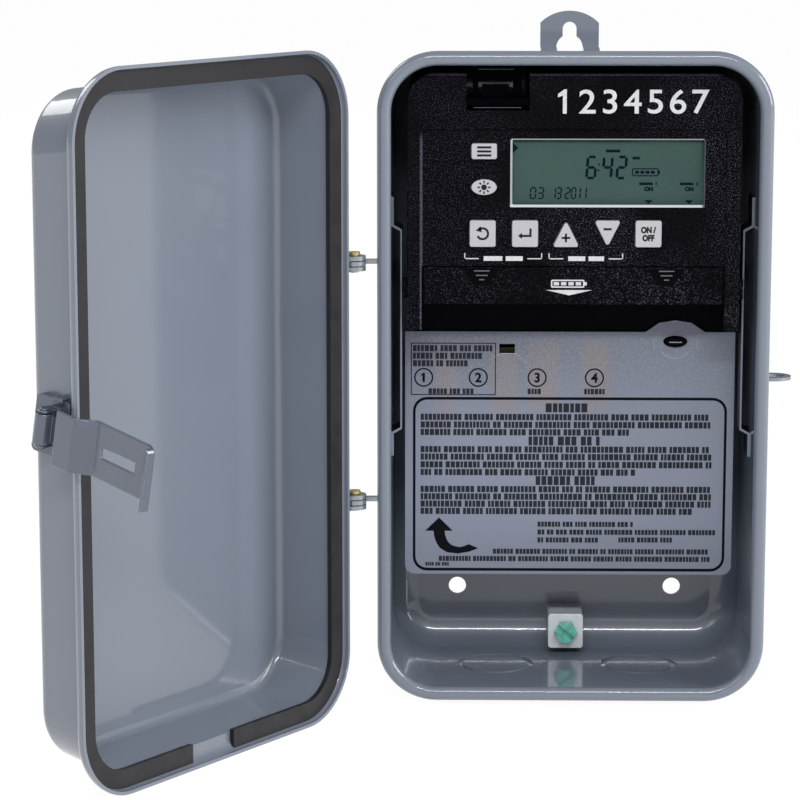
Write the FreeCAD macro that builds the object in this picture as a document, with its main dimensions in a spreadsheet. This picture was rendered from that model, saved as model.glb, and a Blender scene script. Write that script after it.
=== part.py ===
import FreeCAD, Part
import math
import os
import re

import Sketcher

# A seven-day timer in a small steel wall enclosure, with its door open, in millimetres.
# The frame's origin is the middle of the case's back. X is to the right, Y goes into the wall, Z is up.

Vector = FreeCAD.Vector
DOC = FreeCAD.newDocument("timer")
SHEET = DOC.addObject("Spreadsheet::Sheet", "Dims")

# Each driving dimension, in millimetres or degrees. Those that end in _from_top are measured from the
# top of the case's opening.
SIZES = {
    "overshoot": 1.0,
    # case
    "opening_half_width": 54.4,
    "opening_half_height": 94.3,
    "opening_corner": 13.8,
    "case_steel": 1.1,
    "case_depth": 57.0,
    "back_round": 9.0,
    "rim_reach": 4.2,
    "rim_corner": 18.0,
    "bead_depth": 4.3,
    "bead_round": 1.9,
    "wall_hole_radius": 2.75,
    "wall_hole_half_spacing": 34.3,
    "wall_hole_rise": 18.7,
    "knockout_half_spacing": 22.4,
    "knockout_from_back": 27.5,
    "knockout_radius": 10.1,
    "knockout_groove": 1.8,
    "knockout_groove_depth": 0.5,
    # hanger
    "hanger_half_width": 9.1,
    "hanger_steel": 1.2,
    "hanger_foot": 8.0,
    "hanger_height": 12.3,
    "hanger_arch": 13.0,
    "keyhole_rise": 0.9,
    "keyhole_radius": 4.1,
    "keyhole_slot_radius": 2.15,
    "keyhole_slot_rise": 6.75,
    # side straps
    "strap_steel": 0.5,
    "strap_step": 2.5,
    "strap_bend_height": 1.4,
    "strap_front": 41.0,
    "strap_width": 12.0,
    "strap_top_from_top": 40.3,
    "strap_upper_bend_from_top": 50.0,
    "strap_lower_bend_from_top": 111.6,
    "strap_bottom_from_top": 119.7,
    # ground
    "lug_half_width": 5.5,
    "lug_rise": 7.55,
    "lug_half_height": 5.55,
    "lug_depth": 14.9,
    "lug_round": 1.0,
    "lug_hole_depth": 11.92,
    "ground_hex_radius": 3.667,
    "ground_head": 3.0,
    "ground_shank_radius": 1.9,
    "ground_shank": 10.43,
    "ground_slot_angle": 40.0,
    "screw_slot_width": 1.0,
    "screw_slot_depth": 1.1,
    # door hinges
    "hinge_side_gap": 11.0,
    "hinge_stand": 0.8,
    "hinge_drop": 72.2,
    "knuckle_radius": 3.6,
    "hinge_pin_radius": 1.25,
    "pin_fit": 0.06,
    "pin_head_radius": 1.9,
    "pin_head": 0.8,
    "tongue_bottom": 35.5,
    "tongue_steel": 1.3,
    "leaf_steel": 1.25,
    "leaf_gap": 0.3,
    "leaf_web": 1.0,
    "pin_play": 0.3,
    "leaf_stand": 2.6,
    "leaf_setback": 0.8,
    "tongue_setback": 1.8,
    "tongue_width": 2.4,
    # padlock eye
    "eye_half_width": 5.25,
    "eye_steel": 1.0,
    "eye_side_reach": 12.4,
    "eye_hole_radius": 2.65,
    "eye_hole_margin": 2.0,
    # door
    "lip_gap": 0.5,
    "lip_height_gap": 0.7,
    "door_steel": 1.0,
    "lip_corner": 20.0,
    "lip_stand": 2.8,
    "lip_overlap": 1.4,
    "lip_bend": 3.9,
    "door_side_reach": 1.4,
    "door_end_reach": 1.0,
    "door_corner": 17.0,
    "door_swell": 20.8,
    "face_round": 3.5,
    "door_slope": 7.0,
    "door_open_angle": 124.84,
    "gasket_side_inset": 1.2,
    "gasket_end_inset": 1.0,
    "gasket_corner": 12.5,
    "gasket_squeeze_gap": 0.3,
    "gasket_fit": 0.1,
    "gasket_gap_left": -6.4,
    "gasket_gap_right": 12.0,
    # latch
    "latch_side_gap": 6.4,
    "latch_stand": 10.4,
    "latch_height": 4.5,
    "latch_tilt": 10.0,
    "latch_swing": 9.0,
    "latch_pin_radius": 1.0,
    "latch_pin_head_radius": 1.4,
    "latch_pin_head": 0.4,
    "barrel_radius": 2.5,
    "barrel_half_height": 4.2,
    "ear_gap": 0.2,
    "ear_steel": 0.8,
    "ear_radius": 1.8,
    "bracket_steel": 1.2,
    "bracket_left": -6.6,
    "bracket_right": 5.4,
    "bracket_bottom": -8.5,
    "bracket_top": 7.6,
    "bracket_corner": 1.5,
    "bracket_gap": 0.2,
    "stop_width": 3.4,
    "stop_height": 1.0,
    "stop_reach": 1.6,
    "lever_steel": 0.9,
    "lever_outer": 2.0,
    "lever_step": 4.6,
    "lever_start": 7.4,
    "lever_bend_start": 15.0,
    "lever_bend_end": 18.6,
    "lever_bend_round": 1.4,
    "lever_end": 41.5,
    "lever_corner": 2.5,
    "lever_top": 7.3,
    "lever_bottom": -7.8,
    "neck_inner": -1.9,
    "neck_half_height": 3.7,
    "neck_ramp_start": 3.2,
    "neck_ramp_end": 0.2,
    "neck_ramp_shift": 0.4,
    "neck_overlap": 1.0,
    "slot_start": 21.3,
    "slot_end": 35.5,
    "slot_height_offset": -0.5,
    "slot_clearance": 0.15,
    "flange_reach": 1.6,
    "flange_drop": 2.6,
    # mechanism housing
    "face_from_wall": 50.0,
    "bezel_steel": 2.5,
    "module_side_gap": 4.6,
    "module_top_from_top": 2.8,
    "module_corner": 8.0,
    "module_wall": 2.0,
    "bezel_depth": 9.0,
    "bezel_edge_round": 0.4,
    "panel_corner": 2.5,
    "leg_bottom_from_top": 79.4,
    "leg_width": 4.4,
    "leg_step_height_from_top": 71.6,
    "leg_step": 0.5,
    "panel_recess": 1.0,
    "panel_top_from_top": 19.0,
    "panel_bottom_from_top": 60.2,
    "housing_bottom_from_top": 72.0,
    "wall_gap": 0.3,
    "side_lug_bottom_from_top": 70.3,
    "side_lug_top_from_top": 64.3,
    "side_lug_front": 47.0,
    "side_lug_back": 44.0,
    "slide_gap": 0.3,
    # catch at the top
    "well_left": -32.2,
    "well_right": -13.4,
    "well_floor_from_top": 13.6,
    "catch_bracket_left": -30.2,
    "catch_bracket_right": -15.6,
    "catch_bracket_front": 45.5,
    "catch_bracket_steel": 1.2,
    "catch_bracket_bottom_from_top": 9.8,
    "catch_foot": 9.5,
    "catch_window_left": -28.7,
    "catch_window_right": -18.3,
    "catch_window_bottom_from_top": 8.3,
    "catch_window_top_from_top": 5.0,
    "catch_travel": 1.2,
    "catch_front": 49.2,
    "catch_back": 42.4,
    "catch_tongue_gap": 1.2,
    "catch_tongue_top_from_top": 6.1,
    # display
    "window_left": -19.0,
    "window_right": 39.0,
    "window_bottom_from_top": 42.5,
    "window_top_from_top": 22.0,
    "window_fit": 0.15,
    "lens_steel": 1.1,
    "display_margin": 2.6,
    "display_depth": 2.6,
    # keys
    "key_gap": 0.25,
    "key_travel": 0.8,
    "key_proud": 1.3,
    "key_flange": 0.8,
    "key_flange_reach": 0.7,
    "key_round": 0.6,
    "key_width": 7.7,
    "key_height": 7.9,
    "small_key_width": 7.5,
    "small_key_height": 4.6,
    "arrow_key_width": 7.9,
    "arrow_key_height": 7.9,
    "key_row_from_top": 50.3,
    "mode_row_from_top": 25.7,
    "day_row_from_top": 36.4,
    "key_column_mode": -26.8,
    "key_column_reset": -27.15,
    "key_column_enter": -14.5,
    "key_column_plus": -2.3,
    "key_column_minus": 10.1,
    "key_column_switch": 22.3,
    # circuit board and what it carries
    "mat_steel": 1.6,
    "mat_margin": 4.5,
    "board_steel": 1.6,
    "board_side_inset": 3.8,
    "board_bottom_from_top": 56.8,
    "board_top_from_top": 16.3,
    "relay_left": -40.0,
    "relay_bottom_from_top": 52.3,
    "relay_width": 16.0,
    "relay_height": 20.0,
    "relay_depth": 18.0,
    "transformer_left": 8.0,
    "transformer_bottom_from_top": 52.3,
    "transformer_width": 30.0,
    "transformer_height": 26.0,
    "transformer_depth": 8.0,
    "coil_margin": 5.0,
    "coil_depth": 22.0,
    # battery drawer
    "drawer_side_inset": 5.3,
    "trough_side_inset": 2.5,
    "drawer_bottom_from_top": 71.6,
    "drawer_top_from_top": 60.5,
    "drawer_front": 49.5,
    "drawer_panel": 2.0,
    "trough_back": 35.1,
    "trough_floor": 0.6,
    "trough_wall": 0.8,
    "bay_top_from_top": 58.8,
    "bay_wall": 1.5,
    "bay_back": 34.0,
    "cell_radius": 5.25,
    "cell_end_gap": 2.8,
    "cell_button": 1.2,
    "cell_button_radius": 1.9,
    "contact_steel": 0.5,
    # terminals
    "deck_side_inset": 1.8,
    "deck_front": 29.0,
    "deck_back": 5.0,
    "deck_bottom_from_top": 108.3,
    "terminal_side_inset": 10.0,
    "terminal_pitch": 17.5,
    "pocket_width": 14.0,
    "pocket_top_from_top": 86.3,
    "pocket_back": 20.0,
    "terminal_plate_width": 11.0,
    "terminal_plate_bottom_from_top": 106.3,
    "terminal_plate_top_from_top": 89.3,
    "terminal_plate_steel": 1.2,
    "terminal_screw_height_from_top": 98.3,
    "terminal_head_radius": 3.4,
    "terminal_head": 2.5,
    "terminal_shank_radius": 1.75,
    "terminal_shank": 8.0,
    "terminal_slot_turn": 25.0,
    # insulator
    "insulator_gap": 0.3,
    "insulator_steel": 0.6,
    "insulator_side_gap": 3.8,
    "insulator_top_from_top": 83.0,
    "insulator_bottom_from_top": 159.3,
    "insulator_corner": 3.0,
    "ear_left": 23.2,
    "ear_right": 41.3,
    "ear_top_from_top": 79.4,
    "ear_flat_half_width": 4.9,
    "ear_shoulder": 0.72,
    "post_height_from_top": 85.9,
    "post_shank_radius": 1.0,
    "post_half_width": 3.1,
    "post_half_height": 1.2,
    "post_head": 1.2,
    "post_seat": 3.0,
    "post_hole_gap": 0.6,
    "tab_hole_left": -21.7,
    "tab_hole_right": -16.9,
    "tab_hole_bottom_from_top": 89.8,
    "tab_hole_top_from_top": 86.8,
}

# Places that follow the case, so that the pieces stay together when it changes.
PLACES = {
    "wall_hole_drop": "opening_half_height - wall_hole_rise",
    "lug_centre_drop": "opening_half_height - lug_rise",
    "hinge_side": "opening_half_width + hinge_side_gap",
    "hinge_from_wall": "case_depth + hinge_stand",
    "leaf_front": "case_depth + leaf_stand",
    "leaf_back": "case_depth - leaf_setback",
    "tongue_front": "case_depth - tongue_setback",
    "tongue_back": "case_depth - tongue_setback - tongue_width",
    "eye_reach": "opening_half_width + eye_side_reach",
    "lip_front": "case_depth + lip_stand",
    "lip_edge": "case_depth - lip_overlap",
    "door_half_width": "opening_half_width + door_side_reach",
    "door_half_height": "opening_half_height + door_end_reach",
    "door_face": "case_depth + door_swell",
    "gasket_half_width": "opening_half_width - gasket_side_inset",
    "gasket_half_height": "opening_half_height - gasket_end_inset",
    "latch_side": "opening_half_width + latch_side_gap",
    "latch_from_wall": "case_depth + latch_stand",
    "module_half_width": "opening_half_width - module_side_gap",
    "board_half_width": "opening_half_width - module_side_gap - board_side_inset",
    "drawer_half_width": "opening_half_width - module_side_gap - drawer_side_inset",
    "trough_half_width": "opening_half_width - module_side_gap - trough_side_inset",
    "cell_length": "opening_half_width - module_side_gap - trough_side_inset - cell_end_gap",
    "deck_half_width": "opening_half_width - module_side_gap - deck_side_inset",
    "terminal_first": "module_side_gap + deck_side_inset + terminal_side_inset - opening_half_width",
    "insulator_half_width": "opening_half_width - insulator_side_gap",
}
FROM_TOP = "_from_top"
for alias in SIZES:
    if alias.endswith(FROM_TOP):
        PLACES[alias.removesuffix(FROM_TOP)] = f"opening_half_height - {alias}"

NAMED = {**SIZES, **{alias: f"={text}" for alias, text in PLACES.items()}}
for row, (alias, value) in enumerate(NAMED.items(), start=1):
    SHEET.set(f"A{row}", alias)
    SHEET.set(f"B{row}", str(value))
    SHEET.setAlias(f"B{row}", alias)
DOC.recompute()

# Lengths that follow from the driving ones.
RIM_HALF_WIDTH = "(opening_half_width + rim_reach)"
RIM_HALF_HEIGHT = "(opening_half_height + rim_reach)"
CASE_HALF_WIDTH = "(opening_half_width + case_steel)"
CASE_HALF_HEIGHT = "(opening_half_height + case_steel)"
LIP_INNER_WIDTH = f"({RIM_HALF_WIDTH} + lip_gap)"
LIP_INNER_HEIGHT = f"({RIM_HALF_HEIGHT} + lip_height_gap)"
LIP_HALF_WIDTH = f"({LIP_INNER_WIDTH} + door_steel)"
LIP_HALF_HEIGHT = f"({LIP_INNER_HEIGHT} + door_steel)"
LEDGE = "(lip_front - door_steel)"
TONGUE_TOP = "(tongue_bottom + tongue_steel)"
UPPER_LEAF = f"({TONGUE_TOP} + leaf_gap)"
LEAF_TOP = f"({UPPER_LEAF} + leaf_steel)"
LOWER_LEAF_TOP = "(tongue_bottom - leaf_gap)"
LEAF_BOTTOM = f"({LOWER_LEAF_TOP} - leaf_steel)"
PLATE_BACK = "(face_from_wall - bezel_steel)"
PANEL_FACE = "(face_from_wall - panel_recess)"
BEZEL_BACK = "(face_from_wall - bezel_depth)"
HOUSING_BACK = "(case_steel + wall_gap)"
KEY_FLANGE_FRONT = f"({PLATE_BACK} - slide_gap)"
KEY_FLANGE_BACK = f"({KEY_FLANGE_FRONT} - key_flange)"
MAT_FRONT = f"({KEY_FLANGE_BACK} - key_travel - slide_gap)"
BOARD_FRONT = f"({MAT_FRONT} - mat_steel)"
BOARD_BACK = f"({BOARD_FRONT} - board_steel)"
CELL_Y = "(trough_back + trough_wall + cell_radius)"
CELL_Z = "(drawer_bottom + trough_floor + cell_radius)"
SHEET_BACK = "(deck_front + insulator_gap)"
SHEET_FRONT = f"({SHEET_BACK} + insulator_steel)"
POST_X = "((ear_left + ear_right) / 2)"
CATCH_BOTTOM = "(well_floor + slide_gap + catch_travel)"
CATCH_TOP = "(catch_bracket_bottom - slide_gap)"
LEVER_INNER = "(lever_outer - lever_steel)"
BLADE_OUTER = "(lever_outer - lever_step)"
BLADE_INNER = f"({BLADE_OUTER} - lever_steel)"


def linked(text):
    """An expression with each dimension's name pointing at the sheet."""
    return re.sub(r"[a-z_]+", lambda found: f"Dims.{found[0]}" if found[0] in NAMED else found[0], str(text))


def size(text):
    """The value of an expression."""
    return float(SHEET.evalExpression(linked(text)))


def move(thing, x="0", y="0", z="0"):
    """Bind an object's place to three expressions."""
    for axis, text in zip("xyz", (x, y, z)):
        thing.setExpression(f"Placement.Base.{axis}", linked(text))
    return thing


def block(name, x, y, z):
    """A box between two x, two y and two z values."""
    box = DOC.addObject("Part::Box", name)
    for side, (low, high) in zip(("Length", "Width", "Height"), (x, y, z)):
        box.setExpression(side, linked(f"({high}) - ({low})"))
    return move(box, x[0], y[0], z[0])


CLOSE = 1e-4
HEXAGON = 6
TURN_TO_AXIS = {
    "x": FreeCAD.Rotation(Vector(0, 1, 0), 90),
    "y": FreeCAD.Rotation(Vector(1, 0, 0), -90),
    "z": FreeCAD.Rotation(),
}


def rod(name, radius, start, length, axis="z"):
    """A cylinder that runs along +axis from its start."""
    cylinder = DOC.addObject("Part::Cylinder", name)
    cylinder.setExpression("Radius", linked(radius))
    cylinder.setExpression("Height", linked(length))
    cylinder.Placement = FreeCAD.Placement(Vector(), TURN_TO_AXIS[axis])
    return move(cylinder, *start)


def fuse(name, *shapes):
    """One solid from several shapes."""
    joined = DOC.addObject("Part::MultiFuse", name)
    joined.Shapes = list(shapes)
    joined.Refine = True
    return joined


def cut(name, base, *tools):
    """A shape less one or more others."""
    result = DOC.addObject("Part::Cut", name)
    result.Base = base
    result.Tool = tools[0] if len(tools) == 1 else fuse(name + "_tools", *tools)
    return result


def common(name, *shapes):
    """What several shapes share."""
    shared = DOC.addObject("Part::MultiCommon", name)
    shared.Shapes = list(shapes)
    return shared


def group(name, *shapes):
    """Several separate solids kept as one node."""
    together = DOC.addObject("Part::Compound", name)
    together.Links = list(shapes)
    return together


def sketched(name, plane):
    """A body and an empty sketch on one of its origin planes."""
    body = DOC.addObject("PartDesign::Body", name)
    sketch = body.newObject("Sketcher::SketchObject", name + "_sketch")
    support = next(feature for feature in body.Origin.OriginFeatures if feature.Role == plane)
    sketch.AttachmentSupport = [(support, "")]
    sketch.MapMode = "FlatFace"
    return body, sketch


def draw_outline(sketch, outline):
    """A closed polygon whose every corner is held by two dimensions."""
    corners = [Vector(size(u), size(v), 0) for u, v in outline]
    count = len(corners)
    first = sketch.GeometryCount
    for index, corner in enumerate(corners):
        sketch.addGeometry(Part.LineSegment(corner, corners[(index + 1) % count]))
    for index in range(count):
        after = first + (index + 1) % count
        sketch.addConstraint(Sketcher.Constraint("Coincident", first + index, 2, after, 1))
    for index, (u, v) in enumerate(outline, start=first):
        for kind, text in (("DistanceX", u), ("DistanceY", v)):
            held = sketch.addConstraint(Sketcher.Constraint(kind, -1, 1, index, 1, size(text)))
            sketch.setExpression(f"Constraints[{held}]", linked(text))


def prism(name, plane, outline, start, length):
    """A straight prism from an outline: XZ goes towards -Y, XY towards +Z and YZ towards +X."""
    body, sketch = sketched(name, plane + "_Plane")
    draw_outline(sketch, outline)
    pad = body.newObject("PartDesign::Pad", name + "_pad")
    pad.Profile = sketch
    pad.setExpression("Length", linked(length))
    axis = {"XZ": "y", "XY": "z", "YZ": "x"}[plane]
    return move(body, **{axis: start})


def rectangle(left, right, bottom, top):
    """The outline of a rectangle."""
    return [(left, bottom), (right, bottom), (right, top), (left, top)]


def around(half_width, half_height):
    """The outline of a rectangle about the origin."""
    return rectangle(f"-{half_width}", half_width, f"-{half_height}", half_height)


def along(axis):
    """A test for straight edges that run along an axis."""
    direction = Vector(*(float(axis == other) for other in "xyz"))

    def test(edge):
        if edge.Curve.TypeId != "Part::GeomLine":
            return False
        return abs(abs(edge.Curve.Direction.dot(direction)) - 1) < CLOSE

    return test


def level(axis, text):
    """A test for edges that lie in one plane across an axis."""
    place = size(text)

    def test(edge):
        box = edge.BoundBox
        low, high = (getattr(box, axis.upper() + end) for end in ("Min", "Max"))
        return abs(low - place) < CLOSE and abs(high - place) < CLOSE

    return test


def round_edges(body, radius, *tests):
    """Round the edges of a body's last feature that meet every test, in the body's own frame."""
    DOC.recompute()
    base = body.Tip
    edges = enumerate(base.Shape.Edges, start=1)
    names = [f"Edge{number}" for number, edge in edges if all(test(edge) for test in tests)]
    if not names:
        raise RuntimeError(f"{body.Name} has no such edge to round")
    fillet = body.newObject("PartDesign::Fillet", body.Name + "_round")
    fillet.Base = (base, names)
    fillet.setExpression("Radius", linked(radius))
    return body


def ring(name, outer, inner, outer_corner, inner_corner, start, length, front_round):
    """A frame along -Y between two outlines, with round corners and a round front."""
    body, sketch = sketched(name, "XZ_Plane")
    draw_outline(sketch, outer)
    draw_outline(sketch, inner)
    pad = body.newObject("PartDesign::Pad", name + "_pad")
    pad.Profile = sketch
    pad.setExpression("Length", linked(length))
    edge_of_hole = (size(outer[1][0]) + size(inner[1][0])) / 2

    def on_hole(edge):
        return abs(edge.CenterOfMass.x) < edge_of_hole

    round_edges(body, outer_corner, along("y"), lambda edge: not on_hole(edge))
    round_edges(body, inner_corner, along("y"), on_hole)
    round_edges(body, front_round, level("y", f"-({length})"))
    return move(body, y=start)


def tapered_prism(name, outline, corner, start, length, taper, front_round):
    """A prism along -Y that narrows, with round corners and a round front."""
    body, sketch = sketched(name, "XZ_Plane")
    draw_outline(sketch, outline)
    pad = body.newObject("PartDesign::Pad", name + "_pad")
    pad.Profile = sketch
    pad.setExpression("Length", linked(length))
    pad.setExpression("TaperAngle", linked(f"-{taper}"))

    def is_corner(edge):
        return edge.BoundBox.YLength > size(length) / 2

    round_edges(body, corner, is_corner)
    round_edges(body, front_round, level("y", f"-({length})"))
    return move(body, y=start)


def rounded_prism(name, outline, corner, start, length, back_round=None, front_round=None):
    """A prism along -Y with round corners and, where asked, round back or front edges."""
    body = prism(name, "XZ", outline, start, length)
    round_edges(body, corner, along("y"))
    if back_round:
        round_edges(body, back_round, level("y", "0"))
    if front_round:
        round_edges(body, front_round, level("y", f"-({length})"))
    return body


NODES = {}


def node(name, thing, place=None):
    """Name a finished sub-part, and set it where it stands."""
    thing.Label = name
    if place is not None:
        thing.Placement = place.multiply(thing.Placement)
    NODES[name] = thing
    return thing


def turn(centre, axis, angle):
    """A rotation about a line."""
    return FreeCAD.Placement(Vector(), FreeCAD.Rotation(axis, angle), centre)


HINGE_LINE = Vector(-size("hinge_side"), -size("hinge_from_wall"), 0)
DOOR_OPEN = turn(HINGE_LINE, Vector(0, 0, 1), -size("door_open_angle"))


# The case

def case_hollow():
    """The space inside the case."""
    return rounded_prism(
        "case_hollow", around("opening_half_width", "opening_half_height"), "opening_corner",
        "-case_steel", "case_depth", back_round="back_round - case_steel",
    )


def case_shell(hollow):
    """The deep drawn box with its rolled rim, wall holes and conduit knock-outs."""
    outer = rounded_prism(
        "case_outer", around(CASE_HALF_WIDTH, CASE_HALF_HEIGHT), "opening_corner + case_steel",
        "0", "case_depth - bead_depth / 2", back_round="back_round",
    )
    rim = ring(
        "case_rim", around(RIM_HALF_WIDTH, RIM_HALF_HEIGHT),
        around("opening_half_width", "opening_half_height"), "rim_corner", "opening_corner",
        "bead_depth - case_depth", "bead_depth", "bead_round",
    )
    cutters = [hollow]
    for side in ("-", ""):
        hole_place = (f"{side}wall_hole_half_spacing", "-2 * case_steel", "-wall_hole_drop")
        cutters.append(rod("wall_hole", "wall_hole_radius", hole_place, "3 * case_steel", "y"))
        groove_place = (
            f"{side}knockout_half_spacing", "-knockout_from_back",
            "-opening_half_height - knockout_groove_depth",
        )
        groove = rod("knockout_ring", "knockout_radius + knockout_groove", groove_place, "case_steel")
        island = rod("knockout_disc", "knockout_radius", groove_place, "case_steel")
        cutters.append(cut("knockout_cutter", groove, island))
    return node("case_shell", cut("case_shell", fuse("case_solid", outer, rim), *cutters))


def hanger_tab():
    """The arched tab on top of the case, on two feet, with the keyhole that it hangs by."""
    top = f"{CASE_HALF_HEIGHT} + hanger_height"
    blank = prism(
        "hanger_blank", "XZ",
        rectangle("-hanger_half_width", "hanger_half_width", CASE_HALF_HEIGHT, top),
        "0", "hanger_steel",
    )
    arch_place = ("0", "-2 * hanger_steel", f"{top} - hanger_arch")
    leg = common("hanger_leg", blank, rod("hanger_sweep", "hanger_arch", arch_place, "3 * hanger_steel", "y"))
    foot = block(
        "hanger_foot", ("-hanger_half_width", "hanger_half_width"), ("-hanger_foot", "-hanger_steel"),
        (CASE_HALF_HEIGHT, f"{CASE_HALF_HEIGHT} + hanger_steel"),
    )
    centre = f"{CASE_HALF_HEIGHT} + keyhole_rise"
    through = ("-hanger_foot - hanger_steel", "hanger_steel")
    slot_top = f"{CASE_HALF_HEIGHT} + keyhole_slot_rise"
    reach = "hanger_foot + 2 * hanger_steel"
    wide = rod("keyhole_round", "keyhole_radius", ("0", through[0], centre), reach, "y")
    narrow = rod("keyhole_end", "keyhole_slot_radius", ("0", through[0], slot_top), reach, "y")
    neck = block("keyhole_neck", ("-keyhole_slot_radius", "keyhole_slot_radius"), through, (centre, slot_top))
    return node("hanger_tab", cut("hanger_tab", fuse("hanger_solid", leg, foot), wide, narrow, neck))


def side_strap(name, side):
    """A steel strap on a side wall, joggled clear of the wall in the middle."""
    wall, wall_face = "opening_half_width", "(opening_half_width - strap_steel)"
    off, off_face = "(opening_half_width - strap_step)", "(opening_half_width - strap_step - strap_steel)"
    half_bend = "strap_bend_height / 2"
    outline = [
        (wall, "strap_bottom"),
        (wall, f"strap_lower_bend - {half_bend}"),
        (off, f"strap_lower_bend + {half_bend}"),
        (off, f"strap_upper_bend - {half_bend}"),
        (wall, f"strap_upper_bend + {half_bend}"),
        (wall, "strap_top"),
        (wall_face, "strap_top"),
        (wall_face, f"strap_upper_bend + {half_bend} + strap_steel"),
        (off_face, f"strap_upper_bend - {half_bend} + strap_steel"),
        (off_face, f"strap_lower_bend + {half_bend} - strap_steel"),
        (wall_face, f"strap_lower_bend - {half_bend} - strap_steel"),
        (wall_face, "strap_bottom"),
    ]
    if side < 0:
        outline = [(f"-({u})", v) for u, v in reversed(outline)]
    return node(name, prism(name, "XZ", outline, "strap_width - strap_front", "strap_width"))


def ground_lug(hollow):
    """The earthing block on the case's back, cut to the bend above the floor."""
    body = prism(
        "lug_block", "XZ",
        rectangle(
            "-lug_half_width", "lug_half_width",
            "-lug_centre_drop - lug_half_height", "-lug_centre_drop + lug_half_height",
        ),
        "-case_steel", "lug_depth",
    )
    round_edges(body, "lug_round", along("y"))
    hole_place = ("0", "-case_steel - lug_depth", "-lug_centre_drop")
    hole = rod("lug_hole", "ground_shank_radius", hole_place, "lug_hole_depth", "y")
    return node("ground_lug", cut("ground_lug", common("lug_fitted", body, hollow), hole))


def screw_head_slot(name, radius, face, centre, angle):
    """The cutter for a screwdriver slot across a head that faces the front."""
    slot = block(
        name, (f"-2 * {radius}", f"2 * {radius}"), ("-screw_slot_depth", "screw_slot_depth"),
        ("-screw_slot_width / 2", "screw_slot_width / 2"),
    )
    holder = group(name + "_turned", slot)
    holder.Placement = FreeCAD.Placement(Vector(), FreeCAD.Rotation(Vector(0, 1, 0), angle))
    return move(holder, centre[0], face, centre[1])


def ground_screw():
    """The green hexagon-headed earthing screw."""
    face = "-case_steel - lug_depth - ground_head"
    head = DOC.addObject("Part::Prism", "ground_hexagon")
    head.Polygon = HEXAGON
    head.setExpression("Circumradius", linked("ground_hex_radius"))
    head.setExpression("Height", linked("ground_head"))
    head.Placement = FreeCAD.Placement(Vector(), TURN_TO_AXIS["y"])
    move(head, "0", face, "-lug_centre_drop")
    shank_place = ("0", "-case_steel - lug_depth", "-lug_centre_drop")
    shank = rod("ground_shank", "ground_shank_radius", shank_place, "ground_shank", "y")
    slot = screw_head_slot(
        "ground_slot", "ground_hex_radius", face, ("0", "-lug_centre_drop"), size("ground_slot_angle")
    )
    return node("ground_screw", cut("ground_screw", fuse("ground_solid", head, shank), slot))


def hinge_tongue(name, drop):
    """A flat tongue on the case's rim, with the eye that holds a hinge pin."""
    heights = (f"tongue_bottom - {drop}", f"{TONGUE_TOP} - {drop}")
    line = ("-hinge_side", "-hinge_from_wall")
    eye = rod(name + "_eye", "knuckle_radius", (*line, heights[0]), "tongue_steel")
    arm = block(
        name + "_arm", ("-hinge_side - knuckle_radius / 4", f"-{RIM_HALF_WIDTH}"),
        ("-tongue_front", "-tongue_back"), heights,
    )
    hole_place = (*line, f"{heights[0]} - overshoot")
    hole = rod(name + "_hole", "hinge_pin_radius", hole_place, "tongue_steel + 2 * overshoot")
    return node(name, cut(name, fuse(name + "_solid", eye, arm), hole))


def hinge_pins():
    """The two headed hinge pins, held in the case's tongues."""
    line = ("-hinge_side", "-hinge_from_wall")
    pins = []
    for drop in ("0", "hinge_drop"):
        bottom = f"{LEAF_BOTTOM} - 2 * pin_play - {drop}"
        head_seat = f"{LEAF_TOP} + pin_play - {drop}"
        shank = rod("pin_shank", "hinge_pin_radius", (*line, bottom), f"{head_seat} - ({bottom})")
        head = rod("pin_head", "pin_head_radius", (*line, head_seat), "pin_head")
        pins.append(fuse("hinge_pin", shank, head))
    return node("hinge_pins", group("hinge_pins", *pins))


def eye_place():
    """Where the padlock eye stands, so that it is in the middle of the closed latch's slot."""
    tilt = math.radians(size("latch_tilt"))
    reach = size("(slot_start + slot_end) / 2")
    rise = size("slot_height_offset")
    y = -size("latch_from_wall") + reach * math.cos(tilt) + rise * math.sin(tilt)
    z = size("latch_height") - reach * math.sin(tilt) + rise * math.cos(tilt)
    return y, z


def padlock_eye():
    """The round-ended plate that the latch closes over, with a hole for a padlock."""
    y, z = eye_place()
    end = "eye_reach - eye_half_width"
    heights = (f"{z} - eye_steel / 2", f"{z} + eye_steel / 2")
    across = (f"{y} - eye_half_width", f"{y} + eye_half_width")
    plate = block("eye_plate", (CASE_HALF_WIDTH, end), across, heights)
    nose = rod("eye_nose", "eye_half_width", (end, str(y), heights[0]), "eye_steel")
    hole_centre = "eye_reach - eye_hole_margin - eye_hole_radius"
    hole = rod("eye_hole", "eye_hole_radius", (hole_centre, str(y), f"{z} - eye_steel"), "2 * eye_steel")
    return node("padlock_eye", cut("padlock_eye", fuse("eye_solid", plate, nose), hole))


def catch_bracket():
    """The steel angle under the case's top that the release catch hooks behind."""
    across = ("catch_bracket_left", "catch_bracket_right")
    plate = block(
        "catch_plate", across, ("-catch_bracket_front", "catch_bracket_steel - catch_bracket_front"),
        ("catch_bracket_bottom", "opening_half_height"),
    )
    foot = block(
        "catch_foot_plate", across, ("-catch_bracket_front", "catch_foot - catch_bracket_front"),
        ("opening_half_height - catch_bracket_steel", "opening_half_height"),
    )
    window = block(
        "catch_window", ("catch_window_left", "catch_window_right"),
        ("-catch_bracket_front - overshoot", "2 * catch_bracket_steel - catch_bracket_front"),
        ("catch_window_bottom", "catch_window_top"),
    )
    return node("catch_bracket", cut("catch_bracket", fuse("catch_angle", plate, foot), window))


# The door, drawn closed and then turned open

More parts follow.
